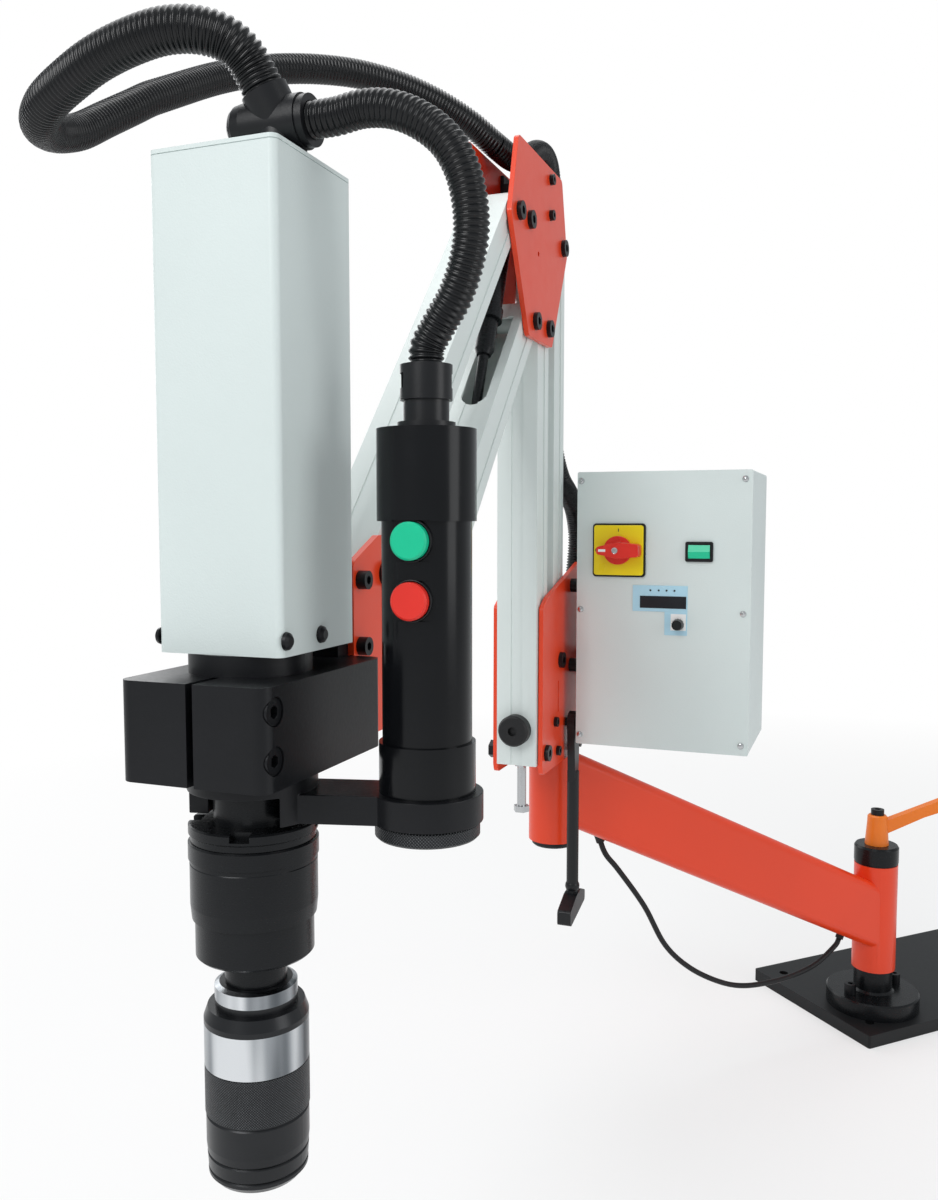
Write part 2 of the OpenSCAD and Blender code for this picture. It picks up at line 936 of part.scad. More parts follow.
// Rubber buffer on the front beam
module beam_bumper() {
    color(rubber)
        linkage()
            translate([0, P1[0] - lower_t / 2 + 1.6, P1[1] + 28])
                rotate([90, 0, 0])
                    rotate_extrude($fn = 48)
                        polygon([[0, 0], [5, 0], [5, 1.4], [17, 1.4], [17, 13], [15, 15.5], [5, 15.5], [5, 11], [0, 11]]);
}

module lower_rear_beam() {
    color(pale)
        linkage()
            translate([0, P2[0], P2[1]])
                drilled_beam(lower_len, lower_t - 0.6, beam_foot, beam_tail, false, true, 8);
}

// Slots in both beams make room for the gas spring
slot_w = spring_d + 7;

module forearm_upper_beam() {
    color(pale)
        linkage()
            translate([0, F1[0], F1[1]])
                rotate([fore_turn, 0, 0])
                    difference() {
                        drilled_beam(forearm_len, upper_t, beam_tail, beam_tail, true, false);
                        translate([-slot_w / 2, -upper_t / 2 - 1, -20])
                            cube([slot_w, beam_wall + 2.5, 32]);
                    }
}

module forearm_lower_beam() {
    color(pale)
        linkage()
            translate([0, F2[0], F2[1]])
                rotate([fore_turn, 0, 0])
                    difference() {
                        drilled_beam(forearm_len, under_t, beam_tail, beam_tail, true, false);
                        translate([-slot_w / 2, under_t / 2 - beam_wall - 2, 15])
                            cube([slot_w, 12, 117]);
                        translate([0, under_t / 2 - beam_wall - 2, 132])
                            rotate([-90, 0, 0])
                                cylinder(d = slot_w, h = 12, $fn = 48);
                    }
}

// ---------------------------------------------------------------- elbow

function elbow_outline() = rounded([
    [elbow_mid - 80, F1[1] + 72], [elbow_mid + 72, F1[1] + 72],
    [elbow_mid + 94, F1[1] - 6], [elbow_mid + 37, F2[1] - 18],
    [elbow_mid - 45, F2[1] - 18], [elbow_mid - 102, F1[1] - 6]
], 6);

saddle_screws = [[elbow_mid + 28, F1[1] + 60], [elbow_mid + 28, F1[1] + 23]];

module elbow_plate(a) {
    difference() {
        slab(a, a + sheet_t)
            polygon(elbow_outline());
        for (p = [F1, F2, L1, L2, spring_pin])
            bar(p, pin_d + 2 * fit, a - 1, a + sheet_t + 1, 48);
        for (p = saddle_screws)
            bar(p, 6 + 2 * fit, a - 1, a + sheet_t + 1);
        bar([elbow_mid - 14, F1[1] - 27], 5, a - 1, a + sheet_t + 1);
    }
}

module elbow_plate_left() {
    color(orange)
        linkage()
            elbow_plate(-plate_out);
}

module elbow_plate_right() {
    color(orange)
        linkage()
            elbow_plate(plate_in);
}

// A pin with a socket head on the right plate and a nut on the left one
module pivot_pin(p, d = pin_d) {
    bar(p, d, -plate_out - 9, plate_out + 1, 48);
    translate([plate_out, p[0], p[1]])
        socket_head(d + 6, 4.5);
    bar(p, d + 8, -plate_out - 8, -plate_out, 6);
}

// Side of the hose saddle: half width, and its ends past the two screws
module saddle_side(w, hi, lo) {
    polygon([
        saddle_screws[0] + [-w, hi], saddle_screws[0] + [w, hi],
        saddle_screws[1] + [w, lo], saddle_screws[1] + [-w, lo]
    ]);
}

// Elbow pins, the gas spring's pin and the saddle under the hose
module elbow_pins() {
    color(black)
        linkage() {
            for (p = [F1, F2, L1, L2, spring_pin])
                pivot_pin(p);
            difference() {
                slab(-plate_in + seat, plate_in - seat)
                    saddle_side(14, 6, -8);
                slab(-plate_in + 4, plate_in - 4)
                    saddle_side(20, -10, -4);
                slab(-plate_in + 4, plate_in - 4)
                    translate([saddle_screws[0][0] - 20, saddle_screws[0][1] - 3])
                        square([40, 20]);
            }
            for (p = saddle_screws, a = [0, 1])
                mirror([a, 0, 0]) {
                    translate([plate_out, p[0], p[1]])
                        socket_head(11, 4.5);
                    bar(p, 6, plate_in - 4, plate_out + 1);
                }
        }
}

// ---------------------------------------------------------------- gas spring

module spring_frame() {
    linkage()
        translate([0, spring_pin[0], spring_pin[1]])
            rotate([spring_turn, 0, 0])
                children();
}

// Eye on the elbow's pin and tube, open below, with its end ring
module gas_spring_tube() {
    color(black)
        spring_frame()
            difference() {
                union() {
                    bar([0, 0], 24, -9, 9, 48);
                    cylinder(d = spring_d + 3.5, h = spring_reach, $fn = 64);
                    translate([0, 0, spring_reach - 12])
                        cylinder(d = spring_d + 7, h = 12, $fn = 64);
                }
                bar([0, 0], pin_d + 2 * fit, -20, 20, 48);
                translate([0, 0, 15])
                    cylinder(d = spring_d + 2 * fit, h = spring_reach, $fn = 64);
            }
}

// Piston that slides in the tube, rod and the eye inside the lower beam
module gas_spring_rod() {
    color(black)
        spring_frame()
            difference() {
                rotate_extrude($fn = 64)
                    polygon([
                        [0, 62], [spring_d / 2, 62], [spring_d / 2, spring_len - 86],
                        [spring_d / 2 - 2.5, spring_len - 80], [5, spring_len - 80],
                        [5, spring_len - 9], [9, spring_len - 7], [9, spring_len + 7], [0, spring_len + 7]
                    ]);
                bar([0, spring_len], 8, -20, 20, 48);
            }
}

// ---------------------------------------------------------------- head

function head_outline() = rounded([
    [G1[0] - 49, G2[1] - 17], [G1[0] - 49, G1[1] + 10], [G1[0] - 10, G1[1] + 28],
    [G1[0] + 34, G1[1] + 28], [G2[0] + 24, G2[1] - 2], [G2[0] + 12, G2[1] - 17]
], 6);

module head_plate(a) {
    difference() {
        slab(a, a + sheet_t)
            polygon(head_outline());
        for (p = [G1, G2])
            bar(p, pin_d + 2 * fit, a - 1, a + sheet_t + 1, 48);
        for (p = tongue_screws)
            bar(p, 8 + 2 * fit, a - 1, a + sheet_t + 1);
    }
}

tongue_screws = [[G1[0] - 39.5, G1[1] - 2.5], [G1[0] - 39.5, G1[1] - 48.5]];

module head_plate_left() {
    color(orange)
        linkage()
            head_plate(-plate_out);
}

module head_plate_right() {
    color(orange)
        linkage()
            head_plate(plate_in);
}

module head_pins() {
    color(black)
        linkage() {
            for (p = [G1, G2])
                pivot_pin(p);
            for (p = tongue_screws) {
                bar(p, 8, -plate_out - 1, plate_out + 1);
                translate([plate_out, p[0], p[1]])
                    socket_head(13, 7);
                translate([-plate_out, p[0], p[1]])
                    mirror([1, 0, 0])
                        socket_head(13, 7);
            }
        }
}

// Split block that grips the spindle nose; its tongue stands between the plates
module clamp_block() {
    tongue_y = G1[0] - spindle - 49;
    color(black)
        head()
            difference() {
                union() {
                    translate([0, (tongue_y - block_front) / 2, 0])
                        linear_extrude(block_h)
                            round_rect(block_w, block_front + tongue_y - seat, 9);
                    translate([-plate_in, tongue_y - 14, 0])
                        cube([2 * plate_in, 34, G1[1] - block_z + 10]);
                }
                translate([0, 0, -1])
                    cylinder(d = nose_d + 2 * fit, h = block_h + 2, $fn = 96);
                translate([-block_slot / 2, -block_front - 10, -1])
                    cube([block_slot, block_front - nose_d / 2 + 16, block_h + 2]);
                translate([0, 0, block_h + 0.01])
                    cylinder(d = gear_flange_d + 1, h = 100, $fn = 64);
                translate([-cover_w / 2 - 1, cover_mid - cover_l / 2 - 1, cover_z - 5])
                    cube([cover_w + 2, cover_l + 2, 200]);
                for (p = tongue_screws)
                    translate([0, -spindle, -block_z])
                        bar(p, 8 + 2 * fit, -50, 50);
                for (z = block_screws) {
                    bar([11 - block_front, z], 10 + 2 * fit, -block_w / 2 + 12, block_w);
                    bar([11 - block_front, z], 17, block_w / 2 - 11, block_w);
                }
            }
}

block_screws = [17.5, 45.5];

// Clamp screws, sunk in their counterbores, and button screws of the cover
module head_screws() {
    color(black)
        head() {
            for (z = block_screws)
                translate([0, 11 - block_front, z]) {
                    translate([block_w / 2 - 11, 0, 0])
                        socket_head(16, 10);
                    bar([0, 0], 10, -block_w / 2 + 12.5, block_w / 2 - 10.5);
                }
            for (y = cover_screw_y, x = [-1, 1])
                translate([x * cover_w / 2, y, cover_z + 9.5])
                    rotate([0, x * 90, 0])
                        rotate_extrude($fn = 32)
                            polygon([[0, -7], [2.95, -7], [2.95, 0], [5.5, 0], [5, 2], [3, 3.6], [0, 3.6]]);
        }
}

cover_screw_y = [-30, 11];

// Gearbox and servo motor: spindle nose, round flange, square body
module gear_motor() {
    color(black)
        head()
            difference() {
                union() {
                    translate([0, 0, nose_low])
                        cylinder(d = nose_d, h = block_h - nose_low, $fn = 96);
                    translate([0, 0, block_h])
                        cylinder(d = gear_flange_d, h = gear_flange_h, $fn = 96);
                    translate([0, cover_mid - 6, cover_z]) {
                        linear_extrude(22)
                            square([80, 76.6], center = true);
                        linear_extrude(95)
                            round_rect(62, 62, 8);
                        translate([0, 0, 95])
                            linear_extrude(120)
                                round_rect(76, 76, 10);
                    }
                }
                translate([0, 0, nose_low - 1])
                    cylinder(d = 20 + 2 * fit, h = 71, $fn = 64);
                for (y = cover_screw_y, x = [-1, 1])
                    translate([x * cover_w / 2, y, cover_z + 9.5])
                        rotate([0, -x * 90, 0])
                            cylinder(d = 6, h = 10, $fn = 24);
            }
}

// White sheet cover with rounded edges and a thin lid
module motor_cover() {
    color(pale)
        head()
            translate([0, cover_mid, cover_z])
                difference() {
                    union() {
                        linear_extrude(cover_h - 3)
                            round_rect(cover_w, cover_l, 5);
                        translate([0, 0, cover_h - 3])
                            linear_extrude(0.6)
                                round_rect(cover_w - 1.2, cover_l - 1.2, 4.4);
                        translate([0, 0, cover_h - 2.4])
                            linear_extrude(2.4)
                                round_rect(cover_w, cover_l, 5);
                    }
                    translate([0, 0, -1])
                        linear_extrude(cover_h - cover_t - 2)
                            round_rect(cover_w - 2 * cover_t, cover_l - 2 * cover_t, 3.5);
                    for (y = cover_screw_y, x = [-1, 1])
                        translate([x * cover_w / 2, y - cover_mid, 9.5])
                            rotate([0, 90, 0])
                                cylinder(d = 6, h = 10, center = true, $fn = 24);
                    translate([tee_x, tee_y - cover_mid, cover_h - 20])
                        cylinder(d = 20, h = 40, $fn = 48);
                }
}

tee_x = 20.5;
tee_y = 9;
tee_z = cover_z + cover_h + 21;
tee_end = 22;      // length of the side port
port_h = 21;       // length of the leaning port
port_lean = 28;
port_turn = 225;
socket_in = 4;     // ledge that a hose's end meets, from the ports' crossing

// The leaning port's own frame
module port() {
    rotate([0, 0, port_turn])
        rotate([0, port_lean, 0])
            children();
}

// Branch fitting on the cover: one hose leaves upwards, one to the right
module tee_fitting() {
    color(rubber)
        head()
            translate([tee_x, tee_y, tee_z])
                difference() {
                    union() {
                        translate([0, 0, -21])
                            cylinder(d = 28, h = 21, $fn = 48);
                        translate([0, 0, -21])
                            cylinder(d = 36, h = 5, $fn = 6);
                        translate([0, 0, -27])
                            cylinder(d = 19.9, h = 8, $fn = 48);
                        rotate([0, 90, 0])
                            rotate_extrude($fn = 48)
                                polygon([
                                    [0, -34], [8, -33], [12, -30], [14, -27], [15, -21], [15, tee_end - 12],
                                    [16, tee_end - 12], [16, tee_end - 5], [15, tee_end - 5],
                                    [15, tee_end], [0, tee_end]
                                ]);
                        port()
                            cylinder(d = hose_d + 3, h = port_h, $fn = 48);
                    }
                    translate([0, 0, -30])
                        cylinder(d = 15, h = 30, $fn = 48);
                    rotate([0, 90, 0])
                        cylinder(d = 16, h = 60, $fn = 48);
                    translate([tee_end - 9, 0, 0])
                        rotate([0, 90, 0])
                            cylinder(d = grip_hose_d + 2 * seat, h = 60, $fn = 48);
                    port()
                        cylinder(d = 17, h = 60, $fn = 48);
                    port()
                        translate([0, 0, socket_in])
                            cylinder(d = hose_d + 2 * seat, h = 60, $fn = 48);
                }
}

// ---------------------------------------------------------------- handle

// Clamp ring round the spindle nose; below it the flat arm to the handle,
// which starts beside the chuck's neck and leaves it open in front
module handle_arm() {
    color(black)
        head() {
            ring(hub_ring_d, nose_d + 2 * fit, nose_low, -seat, 96);
            translate([0, 0, arm_low])
                linear_extrude(handle_arm_t)
                    handle_arm_outline();
        }
}

hub_ring_d = 81;

module handle_arm_outline() {
    reach = norm([handle_x, handle_y]);
    turn = atan2(handle_y, handle_x);
    difference() {
        union() {
            circle(d = hub_ring_d, $fn = 96);
            rotate(turn)
                translate([0, -21])
                    square([reach, 42]);
            translate([handle_x, handle_y])
                circle(d = handle_collar_d + 8.5, $fn = 96);
        }
        circle(d = 56, $fn = 96);
        rotate(turn)
            translate([-60, -60])
                square([86, 55]);
        translate([handle_x, handle_y])
            circle(d = 30 + 2 * fit, $fn = 64);
    }
}

// Hollow handle: lower collar, tube with two flats, upper collar
module handle_body() {
    low = handle_foot;
    mid = low + collar_low_h;
    top = mid + handle_tube_h;
    color(black)
        grip()
            difference() {
                union() {
                    translate([0, 0, arm_low - 10])
                        cylinder(d = 30, h = handle_foot - arm_low + 12, $fn = 64);
                    translate([0, 0, low])
                        cylinder(d = handle_collar_d - 1, h = collar_low_h, $fn = 96);
                    translate([0, 0, mid])
                        cylinder(d = handle_d, h = handle_tube_h, $fn = 96);
                    translate([0, 0, top])
                        cylinder(d = handle_collar_d, h = collar_top_h, $fn = 96);
                }
                translate([0, 0, arm_low - 12])
                    cylinder(d = 20, h = handle_top + 60, $fn = 64);
                translate([0, 0, low + 8])
                    cylinder(d = handle_d - 8, h = handle_top - low - 14, $fn = 80);
                for (b = [green_z, red_z]) {
                    translate([0, 0, b])
                        rotate([0, 0, button_turn])
                            translate([-12, -handle_d / 2 - 4, -12])
                                cube([24, 4 + 2.6, 24]);
                    translate([0, 0, b])
                        rotate([0, 0, button_turn])
                            rotate([90, 0, 0])
                                cylinder(d = 12 + 2 * fit, h = 60, $fn = 48);
                }
            }
}

green_z = 140.5;
red_z = 105.5;
button_turn = 4;

// Knurled nut under the arm
module handle_nut() {
    color(black)
        grip()
            translate([0, 0, arm_low])
                rotate_extrude($fn = 96)
                    polygon([
                        [15 + fit, -10], [31, -10], [32.5, -8.5], [32.5, -1.5], [31, -fit], [15 + fit, -fit]
                    ]);
}

// Hose fitting on the handle: flange, body, claw ring
module handle_fitting() {
    color(rubber)
        grip()
            translate([0, 0, handle_top])
                difference() {
                    union() {
                        cylinder(d = 35, h = 4, $fn = 64);
                        cylinder(d = 27.5, h = 20, $fn = 48);
                        translate([0, 0, 17])
                            cylinder(d = 31.5, h = 21, $fn = 48);
                        translate([0, 0, -5])
                            cylinder(d = 19.8, h = 6, $fn = 48);
                    }
                    translate([0, 0, -10])
                        cylinder(d = 16, h = 60, $fn = 48);
                    translate([0, 0, 22])
                        cylinder(d = grip_hose_d + 2 * seat, h = 60, $fn = 48);
                    for (a = [0, 180])
                        rotate([0, 0, a + 30])
                            translate([12.5, -6, 24])
                                cube([6, 12, 9]);
                }
}

// A push button: disc, bezel groove and plunger, pressed along +y
module push_button() {
    rotate([90, 0, 0])
        translate([0, 0, handle_d / 2 - 2.6 + 0.2])
            rotate_extrude($fn = 48)
                polygon([
                    [0, -14], [6, -14], [6, 3.2], [button_d / 2, 3.2], [button_d / 2, 7.4],
                    [button_d / 2 - 1.2, 8.6], [0, 8.6]
                ]);
}

module green_button() {
    color("#2FEBB5")
        grip()
            translate([0, 0, green_z])
                rotate([0, 0, button_turn])
                    push_button();
}

module red_button() {
    color("#E8221C")
        grip()
            translate([0, 0, red_z])
                rotate([0, 0, button_turn])
                    push_button();
}

// ---------------------------------------------------------------- chuck

// Shank, neck, drive disc, core and lower body of the quick change chuck
module chuck_body() {
    r = chuck_d / 2;
    lip = sleeve_top - sleeve_h + skirt - sleeve_travel - seat;
    low = sleeve_top - sleeve_h - 25;
    color(black)
        head()
            difference() {
                rotate_extrude($fn = 96)
                    polygon([
                        [shank_d / 2 + fit, adapter_top + 1.9], [19.5, adapter_top + 1.9], [19.5, low],
                        [r - 4.5, low], [r - 3, low + 1.5], [r - 3, lip], [27, lip],
                        [27, sleeve_top + seat], [r - 1, sleeve_top + seat], [r - 1, chuck_top - 7],
                        [r + 0.2, chuck_top - 6], [r + 0.2, chuck_top - 1], [r - 0.8, chuck_top],
                        [25, chuck_top], [25, nose_low - seat], [10, nose_low - seat],
                        [10, 46], [0, 46], [0, adapter_top + 30], [shank_d / 2 + fit, adapter_top + 30]
                    ]);
                for (a = [0:90:270])
                    rotate([0, 0, a + 20])
                        translate([r - 8, -6, chuck_top - 4.5])
                            cube([12, 12, 10]);
            }
}

shank_d = 19;

// Release sleeve with its grip grooves; slides down over the lower body
module chuck_sleeve() {
    r = chuck_d / 2;
    h = sleeve_h;
    color(black)
        head()
            translate([0, 0, sleeve_top])
                rotate_extrude($fn = 96)
                    polygon([
                        [27 + fit, 0], [r - 0.5, 0], [r + 0.5, -1], [r + 0.5, -11], [r - 0.6, -11.5],
                        [r - 0.6, -14], [r - 0.3, -14.5], [r - 0.3, -40], [r - 1.2, -h],
                        [r - 3 + fit, -h], [r - 3 + fit, skirt - h], [27 + fit, skirt - h]
                    ]);
}

// Tap adapter: shank in the chuck, black collar, two bright bands, black body,
// grooved nose with the tap's square socket at its foot
module tap_adapter() {
    r = adapter_d / 2;
    z = adapter_top;
    low = adapter_low;
    color(steel)
        head()
            rotate_extrude($fn = 96)
                polygon([
                    [0, low + tap_depth], [tap_d / 2, low + tap_depth], [tap_d / 2, low],
                    [r - 5, low], [r - 1.5, low + 4], [r - 1.5, low + 6], [r - 2.7, low + 7],
                    [r - 1.5, low + 8], [r - 1, low + 16], [r - 2.2, low + 17], [r - 1, low + 18],
                    [r - 0.5, low + 23], [r - 0.5, z - 83], [r - 1.5, z - 82], [r - 1.5, z - 81],
                    [r - 3, z - 80.7], [r - 3, z - 50.3], [r, z - 50], [r, z - 20], [r - 2.5, z - 13],
                    [26, z - 13], [26, z], [23, z + 1.6], [shank_d / 2, z + 1.6],
                    [shank_d / 2, z + 28], [0, z + 28]
                ]);
}

// Knurled torque setting ring
module torque_ring() {
    r = adapter_d / 2;
    color(black)
        head()
            ring(2 * r, 2 * r - 6 + 2 * fit, adapter_top - 80.4, adapter_top - 50.3 - seat, 96);
}

// ---------------------------------------------------------------- hoses

// Tangent at point i; both end stretches are straight
function tangent(p, i) =
    let (n = len(p))
    i <= 1 ? p[1] - p[0] : i >= n - 2 ? p[n - 1] - p[n - 2] : (p[i + 1] - p[i - 1]) / 2;

// Points on a smooth curve through the route p, k steps to each stretch
function curve(p, k) =
    let (n = len(p))
    [for (i = [0:n - 2], j = [0:k - 1])
        let (t = j / k)
        p[i] + t * t * (3 - 2 * t) * (p[i + 1] - p[i])
            + t * (1 - t) * (1 - t) * tangent(p, i) - t * t * (1 - t) * tangent(p, i + 1),
     p[n - 1]];

// Distance along a path up to its point i
function reach_of(q) = [for (i = 0, s = 0; i < len(q); i = i + 1,
    s = i < len(q) ? s + norm(q[i] - q[i - 1]) : s) s];

// The point of path q, with running lengths s, at distance d
function point_at(q, s, d) =
    let (
        i = max([for (j = [0:len(q) - 2]) if (s[j] <= d + 0.001) j]),
        t = (d - s[i]) / max(s[i + 1] - s[i], 0.001)
    )
    q[i] + min(t, 1) * (q[i + 1] - q[i]);

// m + 1 points spread evenly along a path
function even(q, m) =
    let (s = reach_of(q), total = s[len(s) - 1])
    [for (i = [0:m]) point_at(q, s, total * i / m)];

function unit(v) = v / max(norm(v), 0.0001);

// Directions along a path, with the two ends given
function headings(q, first, last) =
    let (n = len(q))
    [for (i = [0:n - 1])
        i == 0 ? first : i == n - 1 ? last : unit(q[i + 1] - q[i - 1])];

// A side direction carried along the path without twist
function sides_of(h, start) = [for (i = 0, v = unit(start - (start * h[0]) * h[0]); i < len(h);
    i = i + 1, v = i < len(h) ? unit(v - (v * h[i]) * h[i]) : v) v];

// Tube swept along q: outer radii ro, bore ri (0 for solid), n sides
module sweep(q, h, v, ro, ri, n) {
    m = len(q);
    function rim(i, r) = [for (k = [0:n - 1])
        q[i] + r * (cos(360 * k / n) * v[i] + sin(360 * k / n) * cross(h[i], v[i]))];
    outer = [for (i = [0:m - 1]) each rim(i, ro[i])];
    inner = ri > 0 ? [for (i = [0:m - 1]) each rim(i, ri)] : [];
    o = m * n;
    polyhedron(
        concat(outer, inner),
        concat(
            [for (i = [0:m - 2], k = [0:n - 1]) each [
                [i * n + k, (i + 1) * n + k, i * n + (k + 1) % n],
                [(i + 1) * n + k, (i + 1) * n + (k + 1) % n, i * n + (k + 1) % n]
            ]],
            ri > 0 ? [for (i = [0:m - 2], k = [0:n - 1]) each [
                [o + i * n + k, o + i * n + (k + 1) % n, o + (i + 1) * n + k],
                [o + (i + 1) * n + k, o + i * n + (k + 1) % n, o + (i + 1) * n + (k + 1) % n]
            ]] : [],
            ri > 0 ? [for (k = [0:n - 1]) each [
                [k, (k + 1) % n, o + k], [(k + 1) % n, o + (k + 1) % n, o + k]
            ]] : [[for (k = [0:n - 1]) k]],
            ri > 0 ? [for (k = [0:n - 1]) each [
                [(m - 1) * n + k, o + (m - 1) * n + k, (m - 1) * n + (k + 1) % n],
                [(m - 1) * n + (k + 1) % n, o + (m - 1) * n + k, o + (m - 1) * n + (k + 1) % n]
            ]] : [[for (k = [0:n - 1]) (m - 1) * n + n - 1 - k]]
        )
    );
}

// Ribbed hose along a route: ribs of two rings each, between smooth ends
module ribbed(route, ribs, d) {
    q = even(curve(route, 8), 2 * ribs + 1);
    n = len(q);
    h = headings(q, unit(route[1] - route[0]), unit(route[len(route) - 1] - route[len(route) - 2]));
    v = sides_of(h, abs(h[0][2]) > 0.9 ? [1, 0, 0] : [0, 0, 1]);
    ro = [for (i = [0:n - 1]) i % 2 == 0 || i == n - 1 ? 0.43 * d : d / 2];
    sweep(q, h, v, ro, 0.36 * d, 8);
}

hose_d = 26;
grip_hose_d = 21.5;
cable_d = 7;

// Hose ends: where a hose meets its fitting, and one diameter further on
tee_at = [tee_x, spindle + tee_y, block_z + tee_z];
port_dir = [sin(port_lean) * cos(port_turn), sin(port_lean) * sin(port_turn), cos(port_lean)];
side_end = tee_at + [tee_end - 9 + seat, 0, 0];
port_end = tee_at + (socket_in + seat) * port_dir;
grip_end = [handle_x, spindle + handle_y, block_z + handle_top + 22 + seat];
box_end = [fitting_at[0], fitting_at[1], fitting_top];

// Routes in the plane of the linkage, [across, backwards, height]
handle_route = [
    side_end, side_end + [grip_hose_d, 0, 0], [76, -659, 960], [95, -659, 957], [112, -657, 949],
    [126, -655, 937], [135, -653, 921], [139, -651, 903], [139, -649, 885], [134, -646, 867],
    [126, -643, 851], [115, -641, 836], grip_end + [0, 0, grip_hose_d], grip_end
];
head_route = [
    port_end, port_end + hose_d * port_dir, [1, -680, 1000], [-15, -689, 1006], [-36, -694, 1007],
    [-60, -695, 1004], [-86, -693, 999], [-112, -687, 993], [-138, -677, 988], [-161, -660, 986],
    [-179, -638, 989], [-191, -611, 996], [-196, -582, 1008], [-196, -554, 1026],
    [-193, -527, 1044], [-190, -503, 1060], [-188.05, -480.5, 1072.7]
];
elbow_route = [
    [-188, -480, 1073], [-186, -457, 1086], [-182, -424, 1104], [-174, -389, 1121],
    [-159, -355, 1135], [-137, -322, 1144], [-112, -290, 1148], [-84, -259, 1145],
    [-56, -231, 1135], [-31, -207, 1120], [-12, -183, 1104], [-2, -156, 1098], [4, -129, 1107],
    [6, -103, 1120], [6, -78, 1125], [5, -57, 1120], [3, -41, 1106], [1, -31, 1087],
    [0, -28, 1066], [0, -28, 1040]
];
column_route = [
    [0, -28, 1040], [0, -28, 1014], [0, -27, 940], [0, -26, 860], [2, -22, 810],
    [6, -6, 774], [9, 20, 756], [11, 48, 738], [12, 64, 704], [11, 60, 662], [10, 48, 630],
    box_end + [0, 0, hose_d], box_end
];

// From the branch fitting to the handle
module handle_hose() {
    color(rubber)
        linkage()
            ribbed(handle_route, 24, grip_hose_d);
}

// From the branch fitting to the middle of the slack loop
module head_loop_hose() {
    color(rubber)
        linkage()
            ribbed(head_route, 37, hose_d);
}

// From the middle of the slack loop over the elbow
module elbow_loop_hose() {
    color(rubber)
        linkage()
            ribbed(elbow_route, 40, hose_d);
}

// Down behind the lower arm to the control box
module column_hose() {
    color(rubber)
        linkage()
            ribbed(column_route, 33, hose_d);
}

// Mains lead between the two grommets under the swing arm
cable_route = [
    below(cable_holes[0], grommet_h), below(cable_holes[0], grommet_h + 7), [-456, -3, 298],
    [-441, -7, 279], [-404, -10, 228], [-371, -10, 171], [-331, -10, 133], [-282, -10, 105],
    [-240, -10, 92], [-189, -8, 88], [-145, -5, 90], [-104, -1, 98],
    below(cable_holes[1], grommet_h + 7), below(cable_holes[1], grommet_h)
];

module mains_cable() {
    q = even(curve(cable_route, 8), 44);
    m = len(cable_route) - 1;
    h = headings(q, unit(cable_route[1] - cable_route[0]), unit(cable_route[m] - cable_route[m - 1]));
    v = sides_of(h, [0, 1, 0]);
    color(rubber)
        sweep(q, h, v, [for (i = q) cable_d / 2], 0, 8);
}

// ---------------------------------------------------------------- assembly

base_plate();
column();
column_screws();
column_cap();
clamp_lever();
clamp_lever_screw();
swing_arm();
pivot_bushes();
arm_caps();
mains_cable();
swivel_spindle();
bracket_plate_left();
bracket_plate_right();
bracket_base();
bracket_pins();
stop_bolt();
box_spacers();
box_shell();
box_cover();
box_screws();
display_panel();
switch_plate();
panel_frames();
box_hose_fitting();
main_switch_knob();
power_rocker();
speed_knob();
parking_lever();
lower_front_beam();
beam_bumper();
lower_rear_beam();
elbow_plate_left();
elbow_plate_right();
elbow_pins();
forearm_upper_beam();
forearm_lower_beam();
gas_spring_rod();
gas_spring_tube();
head_plate_left();
head_plate_right();
head_pins();
clamp_block();
head_screws();
gear_motor();
motor_cover();
tee_fitting();
handle_arm();
handle_body();
handle_nut();
handle_fitting();
green_button();
red_button();
chuck_body();
chuck_sleeve();
tap_adapter();
torque_ring();
handle_hose();
head_loop_hose();
elbow_loop_hose();
column_hose();
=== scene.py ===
"""Looks of the arm tapping machine: camera, finishes, hoses, small parts, floor and light.

Metres, Z up, origin on the column axis at the underside of the base plate.
The linkage stands in its own plane: w runs across it, s backwards and z up, in millimetres.
"""

import json
import math

import bpy
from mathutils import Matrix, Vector

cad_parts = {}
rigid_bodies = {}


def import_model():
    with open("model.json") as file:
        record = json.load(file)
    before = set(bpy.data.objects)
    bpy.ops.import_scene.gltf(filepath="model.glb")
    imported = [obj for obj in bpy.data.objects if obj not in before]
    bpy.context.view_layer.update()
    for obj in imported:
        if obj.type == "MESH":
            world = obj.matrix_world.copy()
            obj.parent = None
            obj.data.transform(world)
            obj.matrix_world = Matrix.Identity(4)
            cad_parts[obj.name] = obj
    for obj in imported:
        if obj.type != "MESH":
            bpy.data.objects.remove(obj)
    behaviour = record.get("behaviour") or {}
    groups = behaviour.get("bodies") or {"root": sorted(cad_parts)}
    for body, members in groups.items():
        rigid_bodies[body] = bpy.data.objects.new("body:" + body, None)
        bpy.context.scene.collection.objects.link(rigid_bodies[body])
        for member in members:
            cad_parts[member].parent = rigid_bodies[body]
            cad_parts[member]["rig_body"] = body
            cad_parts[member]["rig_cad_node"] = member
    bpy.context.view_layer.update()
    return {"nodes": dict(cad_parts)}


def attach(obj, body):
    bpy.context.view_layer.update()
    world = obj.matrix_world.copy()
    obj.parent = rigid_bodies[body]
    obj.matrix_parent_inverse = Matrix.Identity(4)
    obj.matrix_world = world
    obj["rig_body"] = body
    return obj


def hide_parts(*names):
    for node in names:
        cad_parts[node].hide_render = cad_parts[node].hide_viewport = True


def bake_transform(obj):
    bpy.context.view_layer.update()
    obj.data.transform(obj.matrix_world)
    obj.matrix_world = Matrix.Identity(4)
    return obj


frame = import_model()
MM = 0.001
DIAGONAL = math.sqrt(0.5)
# The swing arm: its reach and rise, and the middle of its section at the column
ARM_REACH = 532
ARM_RISE = 254
ARM_Z = 148
ARM_HALF = 43
ARM_SLOPE = math.atan2(ARM_RISE, ARM_REACH)


